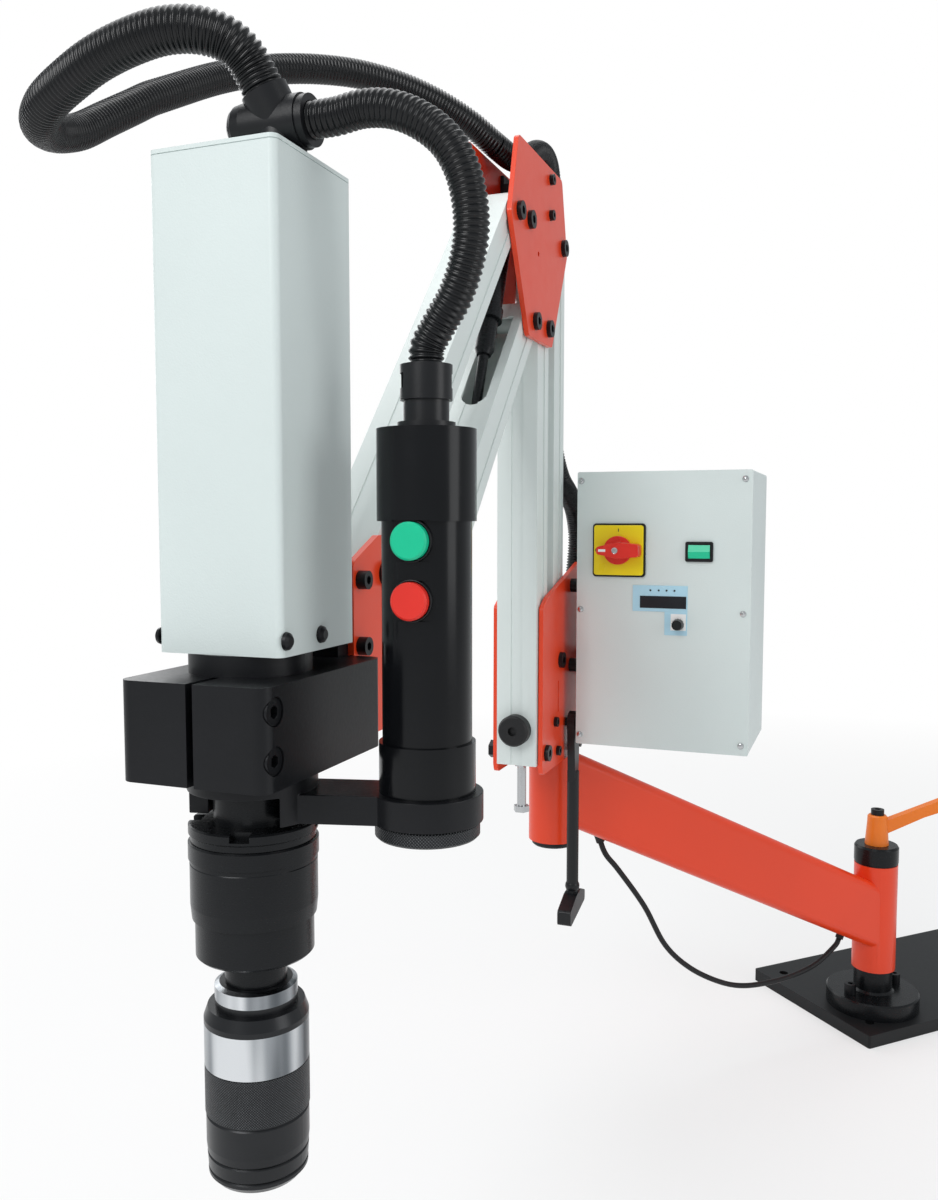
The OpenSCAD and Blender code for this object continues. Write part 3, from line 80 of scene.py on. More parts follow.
def at(w, s, z):
    """A point of the linkage's plane, in millimetres, as a point of the scene."""
    return Vector((-ARM_REACH + DIAGONAL * (w + s), DIAGONAL * (s - w), z)) * MM


ACROSS = Vector((DIAGONAL, -DIAGONAL, 0))
BACK = Vector((DIAGONAL, DIAGONAL, 0))
HEAD = at(0, -668.16, 568.9)
GRIP = at(107, -640.16, 568.9)


def aim(item, direction):
    """Turns a camera or a lamp so that it looks along a direction."""
    item.rotation_mode = "QUATERNION"
    item.rotation_quaternion = direction.to_track_quat("-Z", "Y")


# ---------------------------------------------------------------- camera

FOCAL_PIXELS = 1050
LONG_SIDE = 1200
SENSOR = 36
CAMERA_PLACE = (-1.1446, -1.1203, 0.721)
CAMERA_HEADING = (0.4067, 0.9135)
HORIZON_RISE = 79  # pixels from the picture's middle up to the horizon


def stand_camera():
    """The photograph's own viewpoint."""
    data = bpy.data.cameras.new("camera")
    data.sensor_width = SENSOR
    data.lens = FOCAL_PIXELS / LONG_SIDE * SENSOR
    camera = bpy.data.objects.new("camera", data)
    bpy.context.scene.collection.objects.link(camera)
    camera.location = CAMERA_PLACE
    dip = math.atan2(HORIZON_RISE, FOCAL_PIXELS)
    right, ahead = CAMERA_HEADING
    aim(camera, Vector((right * math.cos(dip), ahead * math.cos(dip), -math.sin(dip))))
    bpy.context.scene.camera = camera


stand_camera()

# ---------------------------------------------------------------- shader maths


class Level:
    """A number that changes over a surface; its sums and products are Math nodes."""

    def __init__(self, finish, socket):
        self.finish, self.socket = finish, socket

    def __add__(self, other):
        return self.finish.maths("ADD", self, other)

    def __sub__(self, other):
        return self.finish.maths("SUBTRACT", self, other)

    def __rsub__(self, other):
        return self.finish.maths("SUBTRACT", other, self)

    def __mul__(self, other):
        return self.finish.maths("MULTIPLY", self, other)

    def __gt__(self, other):
        return self.finish.maths("GREATER_THAN", self, other)

    def __lt__(self, other):
        return self.finish.maths("LESS_THAN", self, other)

    __rmul__ = __mul__


class Finish:
    """A material; every node of it is added by the method node."""

    def __init__(self, name):
        self.material = bpy.data.materials.new(name)
        self.material.use_nodes = True
        self.tree = self.material.node_tree
        self.shader = self.tree.nodes["Principled BSDF"]

    def node(self, kind, settings=None, sockets=None, output=0):
        made = self.tree.nodes.new(kind)
        for key, value in (settings or {}).items():
            if key == "stops":
                ramp = made.color_ramp.elements
                for i, (place, colour) in enumerate(value):
                    stop = ramp[i] if i < 2 else ramp.new(place)
                    stop.position, stop.color = place, (*colour, 1)
            else:
                setattr(made, key, value)
        self.plug(made, sockets or {})
        return Level(self, made.outputs[output])

    def plug(self, made, sockets):
        """Links each changing value to its socket and sets each constant on it."""
        for key, value in sockets.items():
            socket = made.inputs[key]
            if isinstance(value, Level):
                self.tree.links.new(value.socket, socket)
            else:
                socket.default_value = value

    def maths(self, operation, first, second):
        return self.node("ShaderNodeMath", {"operation": operation}, {0: first, 1: second})

    def place(self):
        return self.node("ShaderNodeTexCoord", output="Object")

    def mapped(self, where, **change):
        """A place with a Scale or a Location of its own."""
        sockets = {"Vector": where, **change}
        return self.node("ShaderNodeMapping", {"vector_type": "POINT"}, sockets)

    def coordinate(self, where, axis):
        return self.node("ShaderNodeSeparateXYZ", {}, {0: where}, output=axis)

    def noise(self, where, scale, detail=3.0, rough=0.5):
        sockets = {"Vector": where, "Scale": scale, "Detail": detail, "Roughness": rough}
        return self.node("ShaderNodeTexNoise", {}, sockets)

    def blend(self, share, first, second):
        """A colour between two, each a colour or a changing level."""
        first, second = (
            (*colour, 1) if isinstance(colour, tuple) else colour for colour in (first, second)
        )
        sockets = {0: share, 6: first, 7: second}
        return self.node("ShaderNodeMix", {"data_type": "RGBA"}, sockets, output=2)

    def bump(self, height, strength, distance):
        sockets = {"Height": height, "Strength": strength, "Distance": distance}
        return self.node("ShaderNodeBump", {}, sockets)

    def done(self, **sockets):
        names = {key.replace("_", " "): value for key, value in sockets.items()}
        self.plug(self.shader, names)
        return self.material


def tint(colour, share):
    return tuple(min(1.0, c * share) for c in colour)


# ---------------------------------------------------------------- finishes

TURNED = (2, 2, 90)  # stretches noise into rings round an upright axis


def powder_coat(name, colour, rough, peel, coat=0.15):
    """Baked powder paint: fine orange peel, faint cloudiness."""
    f = Finish(name)
    where = f.place()
    clouds = f.noise(where, 7.0)
    peel_height = f.noise(where, 850.0, 2.0)
    dust = f.noise(where, 60.0, 4.0)
    return f.done(
        Base_Color=f.blend(clouds, tint(colour, 0.93), tint(colour, 1.05)),
        Roughness=dust * 0.14 + (rough - 0.07),
        Normal=f.bump(peel_height, peel, 0.0004),
        Coat_Weight=coat,
        Coat_Roughness=0.25,
        Specular_IOR_Level=0.32,
    )


def black_metal(name, colour, rough, metallic, grain=(1, 1, 1), grain_scale=400.0, bump=0.2):
    """Blackened or anodised metal with the grain of its machining."""
    f = Finish(name)
    where = f.place()
    streaks = f.noise(f.mapped(where, Scale=grain), grain_scale, 3.0)
    wear = f.noise(where, 18.0, 5.0, 0.6)
    return f.done(
        Base_Color=f.blend(wear, tint(colour, 0.7), tint(colour, 1.5)),
        Roughness=streaks * 0.12 + wear * 0.1 + (rough - 0.11),
        Metallic=metallic,
        Normal=f.bump(streaks, bump, 0.0003),
        Specular_IOR_Level=0.3,
    )


def moulded(name, colour, rough, scale=500.0, bump=0.15):
    """Moulded plastic or rubber."""
    f = Finish(name)
    where = f.place()
    skin = f.noise(where, scale, 2.0)
    film = f.noise(where, 22.0, 4.0)
    return f.done(
        Base_Color=f.blend(film, tint(colour, 0.85), tint(colour, 1.15)),
        Roughness=film * 0.16 + (rough - 0.08),
        Normal=f.bump(skin, bump, 0.0003),
        Specular_IOR_Level=0.34,
    )


def turned_steel(name, colour, rough):
    """Bright turned steel with fine rings round the axis."""
    f = Finish(name)
    where = f.place()
    rings = f.noise(f.mapped(where, Scale=TURNED), 40.0, 3.0)
    stain = f.noise(where, 14.0, 4.0)
    return f.done(
        Base_Color=f.blend(stain, tint(colour, 0.7), tint(colour, 1.05)),
        Roughness=rings * 0.16 + stain * 0.06 + (rough - 0.1),
        Metallic=1.0,
        Normal=f.bump(rings, 0.06, 0.0001),
    )


def banded_steel(name, bands):
    """Black oxide with bands of bright turned steel between these heights, in millimetres;
    upright light and dark streaks of painted reflection run down the bright bands.
    """
    f = Finish(name)
    where = f.place()
    height = f.coordinate(where, 2)
    inside = [(height > low * MM) * (height < high * MM) for low, high in bands]
    bright = sum(inside[1:], inside[0])
    rings = f.noise(f.mapped(where, Scale=TURNED), 40.0, 3.0)
    stain = f.noise(where, 16.0, 4.0)
    # Painted reflection: upright dark, grey and light streaks in the colour of the bright bands.
    painted_streak_noise = f.noise(f.mapped(where, Scale=(1, 1, 0.04)), 46.0, 2.0, 0.4)
    painted_reflection_stops = ((0.36, (0.07, 0.08, 0.09)), (0.47, (0.34, 0.36, 0.38)), (0.58, (0.72, 0.74, 0.76)))
    painted_reflection = f.node("ShaderNodeValToRGB", {"stops": painted_reflection_stops}, {0: painted_streak_noise})
    black = f.blend(stain, (0.006, 0.007, 0.008), (0.02, 0.021, 0.024))
    return f.done(
        Base_Color=f.blend(bright, black, painted_reflection),
        Roughness=rings * 0.1 + (0.25 - 0.06 * bright),
        Metallic=bright * 0.6 + 0.4,
        Normal=f.bump(rings, 0.05, 0.0001),
    )


def knurled(name, centre, around, pitch):
    """Blackened metal with diamond knurling about a vertical axis."""
    f = Finish(name)
    where = f.place()
    middle = f.mapped(where, Location=(-centre[0], -centre[1], 0))
    x, y, z = (f.coordinate(middle, axis) for axis in range(3))
    turn = f.maths("ARCTAN2", y, x) * (around / (2 * math.pi))
    rise = z * (1 / pitch)
    one = f.maths("PINGPONG", turn + rise, 0.5)
    two = f.maths("PINGPONG", turn - rise, 0.5)
    peak = one * two * 4
    wear = f.noise(where, 30.0, 4.0)
    shine = peak * (wear * 0.8 + 0.3)
    return f.done(
        Base_Color=f.blend(shine, (0.006, 0.0065, 0.008), (0.16, 0.17, 0.18)),
        Roughness=0.42 - peak * 0.14,
        Metallic=0.55,
        Normal=f.bump(peak, 0.9, 0.0006),
    )


orange_coat = powder_coat("orange_powder_coat", (0.80, 0.052, 0.010), 0.33, 0.2, 0.3)
lever_coat = powder_coat("lever_paint", (0.82, 0.19, 0.012), 0.36, 0.5, 0.2)
pale_coat = powder_coat("pale_powder_coat", (0.665, 0.735, 0.72), 0.42, 0.3)
beam_coat = powder_coat("beam_coating", (0.70, 0.755, 0.735), 0.36, 0.12, 0.2)
black_oxide = black_metal("black_oxide", (0.0075, 0.008, 0.0095), 0.36, 0.25)
black_plate = black_metal(
    "blackened_plate", (0.013, 0.014, 0.015), 0.46, 0.3, (1, 12, 1), 120.0, 0.3
)
black_turned = black_metal(
    "black_turned", (0.007, 0.0078, 0.009), 0.27, 0.3, (2, 2, 60), 60.0, 0.06
)
black_anodised = black_metal(
    "black_anodised", (0.004, 0.0045, 0.0055), 0.2, 0.2, (2, 2, 40), 60.0, 0.015
)
steel = turned_steel("bright_steel", (0.6, 0.61, 0.62), 0.24)
rubber = moulded("black_rubber", (0.009, 0.009, 0.01), 0.5)
black_plastic = moulded("black_plastic", (0.007, 0.0075, 0.009), 0.34)
hose_plastic = moulded("hose_plastic", (0.0045, 0.005, 0.006), 0.27, 900.0, 0.05)
yellow_plastic = moulded("yellow_plastic", (0.83, 0.66, 0.008), 0.3)
red_plastic = moulded("red_plastic", (0.72, 0.03, 0.02), 0.3)
green_plastic = moulded("green_plastic", (0.01, 0.56, 0.30), 0.25)
membrane = moulded("display_membrane", (0.42, 0.66, 0.78), 0.3)
mark_white = moulded("marking_white", (0.86, 0.87, 0.86), 0.4)
mark_black = moulded("marking_black", (0.012, 0.012, 0.014), 0.4)
display_glass = moulded("display_glass", (0.02, 0.022, 0.026), 0.16, 300.0, 0.02)
adapter_finish = banded_steel("adapter_black_and_bright", ((421.5, 431.5), (379.4, 406.5)))
torque_knurl = knurled("torque_ring_knurl", HEAD, 124, 0.0017)
nut_knurl = knurled("handle_nut_knurl", GRIP, 104, 0.002)

# ---------------------------------------------------------------- hoses and lead

STEPS = 8  # points of the smooth line to each stretch of a route
CORD_POINTS = 160


def through(points):
    """Points on the smooth curve that the hoses follow; both ends run straight."""
    last = len(points) - 1

    def pull(i):
        if i <= 1:
            return points[1] - points[0]
        if i >= last - 1:
            return points[last] - points[last - 1]
        return (points[i + 1] - points[i - 1]) / 2

    line = []
    for i in range(last):
        for j in range(STEPS):
            t = j / STEPS
            line.append(
                points[i]
                + t * t * (3 - 2 * t) * (points[i + 1] - points[i])
                + t * (1 - t) ** 2 * pull(i)
                - t * t * (1 - t) * pull(i + 1)
            )
    return line + [points[last]]


def distances(line):
    """How far along a line each of its points is."""
    run = [0.0]
    for a, b in zip(line, line[1:]):
        run.append(run[-1] + (b - a).length)
    return run


def spaced(line, count):
    """count + 1 points at even distances along a line."""
    run = distances(line)
    made, i = [], 0
    for k in range(count + 1):
        d = run[-1] * k / count
        while i < len(line) - 2 and run[i + 1] < d:
            i += 1
        share = (d - run[i]) / max(run[i + 1] - run[i], 1e-9)
        made.append(line[i].lerp(line[i + 1], min(share, 1.0)))
    return made


def tube(name, line, radii, sides, material):
    """A closed tube along a line, with its own radius at each ring."""
    n = len(line)
    heading = [(line[min(i + 1, n - 1)] - line[max(i - 1, 0)]).normalized() for i in range(n)]
    side = heading[0].orthogonal().normalized()
    rings = []
    for i in range(n):
        side = (side - heading[i] * side.dot(heading[i])).normalized()
        up = heading[i].cross(side)
        for k in range(sides):
            a = 2 * math.pi * k / sides
            rings.append(line[i] + radii[i] * (side * math.cos(a) + up * math.sin(a)))
    faces = []
    for here in range(0, (n - 1) * sides, sides):
        for k in range(sides):
            after = (k + 1) % sides
            faces.append((here + k, here + after, here + sides + after, here + sides + k))
    faces += [tuple(reversed(range(sides))), tuple(range((n - 1) * sides, n * sides))]
    mesh = bpy.data.meshes.new(name)
    mesh.from_pydata([tuple(p) for p in rings], [], faces)
    mesh.update()
    for face in mesh.polygons:
        face.use_smooth = len(face.vertices) == 4
    piece = bpy.data.objects.new(name, mesh)
    bpy.context.scene.collection.objects.link(piece)
    mesh.materials.append(material)
    return piece


RIB_PITCH = 0.0036
RIB_SHAPE = (0.87, 0.93, 1.0, 1.0, 0.93)  # radius of each ring of a rib, as a share
HOSE_SIDES = 24


def lay_hose(name, line, diameter, *nodes):
    """One corrugated hose along a line; it stands for these nodes."""
    length = distances(line)[-1]
    ribs = round(length / RIB_PITCH)
    rings = spaced(line, ribs * len(RIB_SHAPE))
    radii = [diameter / 2 * RIB_SHAPE[i % len(RIB_SHAPE)] for i in range(len(rings))]
    hose = tube(name, rings, radii, HOSE_SIDES, hose_plastic)
    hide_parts(*nodes)
    path = spaced(line, CORD_POINTS)
    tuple(path[0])
    return hose


HOSE_D = 0.026
GRIP_HOSE_D = 0.0215
# The tee on top of the motor cover, in the linkage's plane, and its leaning port
tee = Vector((20.5, -659.16, 957.9))
lean = Vector((-0.33197, -0.33197, 0.88295))
side_end = tee + Vector((13.3, 0, 0))
port_end = tee + 4.3 * lean
grip_end = Vector((107, -640.16, 798.2))
box_end = Vector((10, 42, 579.3))
handle_route = [
    side_end, side_end + Vector((21.5, 0, 0)), (76, -659, 960), (95, -659, 957), (112, -657, 949),
    (126, -655, 937), (135, -653, 921), (139, -651, 903), (139, -649, 885), (134, -646, 867),
    (126, -643, 851), (115, -641, 836), grip_end + Vector((0, 0, 21.5)), grip_end,
]
head_route = [
    port_end, port_end + 26 * lean, (1, -680, 1000), (-15, -689, 1006), (-36, -694, 1007),
    (-60, -695, 1004), (-86, -693, 999), (-112, -687, 993), (-138, -677, 988), (-161, -660, 986),
    (-179, -638, 989), (-191, -611, 996), (-196, -582, 1008), (-196, -554, 1026),
    (-193, -527, 1044), (-190, -503, 1060), (-188, -480, 1073),
]
elbow_route = [
    (-188, -480, 1073), (-186, -457, 1086), (-182, -424, 1104), (-174, -389, 1121),
    (-159, -355, 1135), (-137, -322, 1144), (-112, -290, 1148), (-84, -259, 1145),
    (-56, -231, 1135), (-31, -207, 1120), (-12, -183, 1104), (-2, -156, 1098), (4, -129, 1107),
    (6, -103, 1120), (6, -78, 1125), (5, -57, 1120), (3, -41, 1106), (1, -31, 1087),
    (0, -28, 1066), (0, -28, 1040),
]
column_route = [
    (0, -28, 1040), (0, -28, 1014), (0, -27, 940), (0, -26, 860), (2, -22, 810),
    (6, -6, 774), (9, 20, 756), (11, 48, 738), (12, 64, 704), (11, 60, 662), (10, 48, 630),
    box_end + Vector((0, 0, 26)), box_end,
]


def hose_line(route):
    return through([at(*p) for p in route])


# The hose up the column, over the elbow and along the forearm is one line in three
# stretches, each between two bodies: they part where it runs beside a beam or the elbow.
FOREARM_STRETCHES = 10
REAR_BEAM_STRETCHES = 3
main_line = hose_line(elbow_route) + hose_line(column_route)[1:]
elbow_cut = FOREARM_STRETCHES * STEPS
column_cut = (len(elbow_route) - 1 + REAR_BEAM_STRETCHES) * STEPS
lower_line = main_line[column_cut:][::-1]
crest_line = main_line[elbow_cut:column_cut + 1][::-1]
forearm_line = main_line[:elbow_cut + 1][::-1]
lower_hose = lay_hose("column_hose_ribbed", lower_line, HOSE_D, "column_hose")
crest_hose = lay_hose("crest_hose_ribbed", crest_line, HOSE_D, "column_hose", "elbow_loop_hose")
forearm_hose = lay_hose("elbow_loop_ribbed", forearm_line, HOSE_D, "elbow_loop_hose")
head_hose = lay_hose("head_loop_ribbed", hose_line(head_route), HOSE_D, "head_loop_hose")
handle_hose = lay_hose("handle_hose_ribbed", hose_line(handle_route), GRIP_HOSE_D, "handle_hose")
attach(handle_hose, "head")
at(10, 0, 620)
at(0, 0, 850)
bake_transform(lower_hose)
at(0, 0, 890)
at(0, 0, 1060)
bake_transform(crest_hose)
at(-20, -190, 1104)
at(-180, -440, 1100)
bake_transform(forearm_hose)
at(-60, -690, 1000)
at(-190, -510, 1050)
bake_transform(head_hose)

LEAD_D = 0.007
LEAD_SIDES = 16
# Each end of the lead stands in a grommet of the arm, this far out from the column;
# it leaves the far one at its own lean and the near one square to the arm.
FAR_GROMMET, FAR_LEAN = 466, math.radians(-20)
NEAR_GROMMET = 64
LEAD_END, LEAD_CLEAR = 6, 13  # depths below the arm's underside


def under_arm(distance, down, turn):
    """A point below the arm's underside, at a distance from the column, in millimetres."""
    height = ARM_Z + ARM_RISE * distance / ARM_REACH - ARM_HALF / math.cos(ARM_SLOPE)
    return Vector((-distance - down * math.sin(turn), 0, height - down * math.cos(turn)))


lead_route = [
    under_arm(FAR_GROMMET, LEAD_END, FAR_LEAN), under_arm(FAR_GROMMET, LEAD_CLEAR, FAR_LEAN),
    (-456, -3, 298), (-441, -7, 279), (-404, -10, 228), (-371, -10, 171), (-331, -10, 133),
    (-282, -10, 105), (-240, -10, 92), (-189, -8, 88), (-145, -5, 90), (-104, -1, 98),
    under_arm(NEAR_GROMMET, LEAD_CLEAR, ARM_SLOPE), under_arm(NEAR_GROMMET, LEAD_END, ARM_SLOPE),
]
lead_line = through([Vector(p) * MM for p in lead_route])
lead_path = spaced(lead_line, CORD_POINTS)
lead_radii = [LEAD_D / 2] * len(lead_path)
lead = tube("mains_lead", lead_path, lead_radii, LEAD_SIDES, rubber)
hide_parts("mains_cable")
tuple(lead_path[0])
distances(lead_line)[-1]
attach(lead, "swing")

# ---------------------------------------------------------------- dressing the CAD nodes

SHARP = math.radians(34)  # an edge that turns more than this is broken
FLAT = math.radians(0.3)  # faces that turn less than this become one
SAME_POINT = 0.000005


def clear_selection():
    bpy.ops.object.select_all(action="DESELECT")


def work_on(piece):
    """Makes a piece the only selected and active one."""
    clear_selection()
    piece.select_set(True)
    bpy.context.view_layer.objects.active = piece


def whole_mesh():
    """Opens the active piece for editing with all of its mesh selected."""
    bpy.ops.object.mode_set(mode="EDIT")
    bpy.ops.mesh.select_all(action="SELECT")


def copied(piece, name):
    """A copy with a mesh of its own, ready to be worked on."""
    made = piece.copy()
    made.data = piece.data.copy()
    made.name = name
    bpy.context.scene.collection.objects.link(made)
    work_on(made)
    return made


def paint(piece, material):
    piece.data.materials.clear()
    piece.data.materials.append(material)


def break_edges(piece, width, segments, corner="MITER_SHARP"):
    """Rounds the active piece's sharp edges and keeps its flats even in the light."""
    edge = piece.modifiers.new("edge", "BEVEL")
    edge.width, edge.segments = width, segments
    edge.limit_method, edge.angle_limit = "ANGLE", SHARP
    edge.miter_outer = corner
    bpy.ops.object.modifier_apply(modifier="edge")
    bpy.ops.object.shade_smooth_by_angle(angle=SHARP)
    flats = piece.modifiers.new("flats", "WEIGHTED_NORMAL")
    flats.keep_sharp, flats.weight = True, 100
    bpy.ops.object.modifier_apply(modifier="flats")


def softened(node, body, slot, material, width):
    """The node's shape with its sharp edges broken, in the same place."""
    piece = copied(frame["nodes"][node], node + "_finished")
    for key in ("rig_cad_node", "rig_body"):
        if key in piece:
            del piece[key]
    piece.parent = None
    bpy.ops.mesh.customdata_custom_splitnormals_clear()
    whole_mesh()
    bpy.ops.mesh.remove_doubles(threshold=SAME_POINT)
    bpy.ops.mesh.dissolve_limited(angle_limit=FLAT)
    bpy.ops.object.mode_set(mode="OBJECT")
    break_edges(piece, width, 2, "MITER_ARC")
    paint(piece, material)
    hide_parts(node)
    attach(piece, body)


# Node, body, material slot, finish, and the width of its broken edges in metres
SOFTENED = (
    ("base_plate", "base", "black_metal", black_plate, 0.0012),
    ("swing_arm", "swing", "orange_paint", orange_coat, 0.0012),
    ("clamp_lever", "clamp", "lever_paint", lever_coat, 0.0015),
    ("bracket_plate_left", "bracket", "orange_paint", orange_coat, 0.0006),
    ("bracket_plate_right", "bracket", "orange_paint", orange_coat, 0.0006),
    ("bracket_base", "bracket", "orange_paint", orange_coat, 0.0006),
    ("elbow_plate_left", "elbow", "orange_paint", orange_coat, 0.0006),
    ("elbow_plate_right", "elbow", "orange_paint", orange_coat, 0.0006),
    ("head_plate_left", "head", "orange_paint", orange_coat, 0.0006),
    ("head_plate_right", "head", "orange_paint", orange_coat, 0.0006),
    ("box_shell", "bracket", "pale_paint", pale_coat, 0.0009),
    ("box_cover", "bracket", "pale_paint", pale_coat, 0.0006),
    ("motor_cover", "head", "pale_paint", pale_coat, 0.0006),
    ("lower_front_beam", "lower_front", "beam_paint", beam_coat, 0.0008),
    ("lower_rear_beam", "lower_rear", "beam_paint", beam_coat, 0.0008),
    ("forearm_upper_beam", "forearm_upper", "beam_paint", beam_coat, 0.0008),
    ("forearm_lower_beam", "forearm_lower", "beam_paint", beam_coat, 0.0008),
    ("clamp_block", "head", "black_anodised", black_oxide, 0.002),
    ("handle_arm", "head", "black_anodised", black_oxide, 0.0008),
    ("handle_body", "head", "black_anodised", black_anodised, 0.0006),
    ("parking_lever", "prop", "black_plastic", black_plastic, 0.0012),
    ("main_switch_knob", "main_switch", "red_plastic", red_plastic, 0.001),
    ("switch_plate", "bracket", "yellow_plastic", yellow_plastic, 0.0006),
)
for node_row in SOFTENED:
    softened(*node_row)

# Nodes that keep their own mesh and take a finish
PAINTED = {
    black_oxide: (
        "column_screws", "clamp_lever_screw", "bracket_pins", "box_spacers", "elbow_pins",
        "head_pins", "head_screws", "gear_motor",
    ),
    black_turned: (
        "column", "column_cap", "gas_spring_rod", "gas_spring_tube", "chuck_body", "chuck_sleeve",
    ),
    torque_knurl: ("torque_ring",),
    nut_knurl: ("handle_nut",),
    adapter_finish: ("tap_adapter",),
    steel: ("pivot_bushes", "swivel_spindle", "stop_bolt", "box_screws"),
    rubber: ("arm_caps", "beam_bumper"),
    black_plastic: (
        "panel_frames", "box_hose_fitting", "speed_knob", "tee_fitting", "handle_fitting",
    ),
    red_plastic: ("red_button",),
    green_plastic: ("power_rocker", "green_button"),
    membrane: ("display_panel",),
}
for finish, nodes in PAINTED.items():
    for node in nodes:
        paint(frame["nodes"][node], finish)

# ---------------------------------------------------------------- small parts

# The box's lower left front corner in the linkage's plane, and the turn that faces its front
BOX_W, BOX_S, BOX_Z = 44, -60, 464.3
FACING = (math.pi / 2, 0, -math.pi / 4)


def on_box(x, out, z):
    """A point on the box's front: right, outwards and up, in millimetres."""
    return at(BOX_W + x, BOX_S - out, BOX_Z + z)


def set_in_place():
    """Makes the selected piece's place, turn and scale part of its mesh."""
    bpy.ops.object.transform_apply(location=True, rotation=True, scale=True)


def finished(piece, name, material, body, width, segments=1):
    """Breaks the edges of a shaped piece and gives it its finish and its carrier."""
    set_in_place()
    piece.name = name
    break_edges(piece, width, segments)
    paint(piece, material)
    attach(piece, body)


def moved_copy(piece, name, shift, body):
    """A finished piece once more, further along."""
    made = copied(piece, name)
    whole_mesh()
    bpy.ops.transform.translate(value=tuple(shift))
    bpy.ops.object.mode_set(mode="OBJECT")
    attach(made, body)


def slab(place, size):
    """A block on the box's face: its middle, and its width, thickness and height in mm."""
    clear_selection()
    bpy.ops.mesh.primitive_cube_add(size=1, location=place, rotation=(0, 0, -math.pi / 4))
    piece = bpy.context.object
    piece.scale = (size[0] * MM, size[1] * MM, size[2] * MM)
    bpy.ops.object.transform_apply(location=False, rotation=False, scale=True)
    return piece


def disc(place, radius, thick, sides):
    """A round piece on the box's face, in millimetres."""
    clear_selection()
    bpy.ops.mesh.primitive_cylinder_add(
        vertices=sides, radius=radius * MM, depth=thick * MM, location=place, rotation=FACING
    )
    return bpy.context.object


def hollowed_front(piece, rim, depth):
    """Insets the front face by a rim and presses it in by a depth, in millimetres."""
    set_in_place()
    mesh = piece.data
    for item in (*mesh.edges, *mesh.vertices):
        item.select = False
    for face in mesh.polygons:
        face.select = face.normal.dot(BACK) < -0.9
    bpy.ops.object.mode_set(mode="EDIT")
    bpy.ops.mesh.select_mode(type="FACE")
    bpy.ops.mesh.inset(thickness=rim * MM, depth=0)
    bpy.ops.transform.translate(value=tuple(BACK * depth * MM))
    bpy.ops.object.mode_set(mode="OBJECT")


def display_window():
    piece = slab(on_box(99, 1.0, 166.5), (51.5, 0.5, 13.6))
    hollowed_front(piece, 0.9, 0.25)
    finished(piece, "display_window", display_glass, "bracket", 0.00008)


# The scale round the speed knob: its middle on the box, and the ticks' circle and angles
SCALE_X, SCALE_Z, SCALE_R = 116, 142, 7.0
TICKS, FIRST_TICK, TICK_STEP = 11, -135, 27
TICK_OUT = 1.28


def speed_plate():
    """A white plate under the speed knob with a ring of ticks."""
    piece = slab(on_box(116.3, 1.0, 144.6), (16.8, 0.5, 18.4))
    hollowed_front(piece, 0.7, 0.1)
    finished(piece, "speed_plate", mark_white, "bracket", 0.00008)
    for i in range(TICKS):
        turn = math.radians(FIRST_TICK + TICK_STEP * i)
        x, z = SCALE_X + SCALE_R * math.sin(turn), SCALE_Z + SCALE_R * math.cos(turn)
        place = on_box(x, TICK_OUT, z)
        tick = slab(place, (0.35, 0.12, 1.2))
        set_in_place()
        whole_mesh()
        bpy.ops.transform.rotate(
            value=turn, orient_axis="Y", orient_type="GLOBAL",
            orient_matrix=(ACROSS, BACK, (0, 0, 1)), orient_matrix_type="GLOBAL",
            center_override=place,
        )
        bpy.ops.object.mode_set(mode="OBJECT")
        finished(tick, "speed_tick_%02d" % i, mark_black, "bracket", 0.00003)


KEY_XS = (84.9, 94.2, 102.9, 111.7)
KEY_Z = 179.6


def display_keys():
    """A row of round keys above the display window."""
    first = disc(on_box(KEY_XS[0], 1.05, KEY_Z), 1.05, 0.5, 24)
    hollowed_front(first, 0.3, 0.12)
    finished(first, "display_key_0", mark_black, "bracket", 0.00006)
    for i, x in enumerate(KEY_XS[1:], 1):
        moved_copy(first, "display_key_%d" % i, ACROSS * (x - KEY_XS[0]) * MM, "bracket")


SWITCH_X, SWITCH_Z = 49, 224
PLATE_OUT = 5.5  # front of the switch plate


def switch_marks():
    """A bar for on, a ring for off, and the knob's pointer and screw."""
    bar = slab(on_box(SWITCH_X, PLATE_OUT + 0.12, SWITCH_Z + 22.5), (0.9, 0.3, 3.4))
    hollowed_front(bar, 0.12, 0.03)
    finished(bar, "switch_mark_on", mark_black, "bracket", 0.00004)
    clear_selection()
    bpy.ops.mesh.primitive_torus_add(
        major_radius=1.7 * MM, minor_radius=0.35 * MM, major_segments=32, minor_segments=8,
        location=on_box(SWITCH_X - 24.6, PLATE_OUT, SWITCH_Z), rotation=FACING,
    )
    ring = bpy.context.object
    finished(ring, "switch_mark_off", mark_black, "bracket", 0.00001)
    pointer = slab(on_box(SWITCH_X - 14.5, 23.9, SWITCH_Z), (8.0, 0.4, 2.8))
    hollowed_front(pointer, 0.3, 0.05)
    finished(pointer, "switch_pointer", mark_white, "main_switch", 0.00006)
    screw = disc(on_box(SWITCH_X, 24.0, SWITCH_Z), 3.4, 1.2, 32)
    hollowed_front(screw, 0.9, 0.5)
    finished(screw, "switch_screw", steel, "main_switch", 0.00012, 2)


# The buttons are pushed this way; the rings stand this far in front of the handle's axis
PUSH = Vector((0.6561, 0.7547, 0))
PUSH_TURN = math.atan2(PUSH.y, PUSH.x) - math.pi / 2
RING_OUT = 0.0267
START_Z = 0.7094
STOP_BELOW_START = 0.035


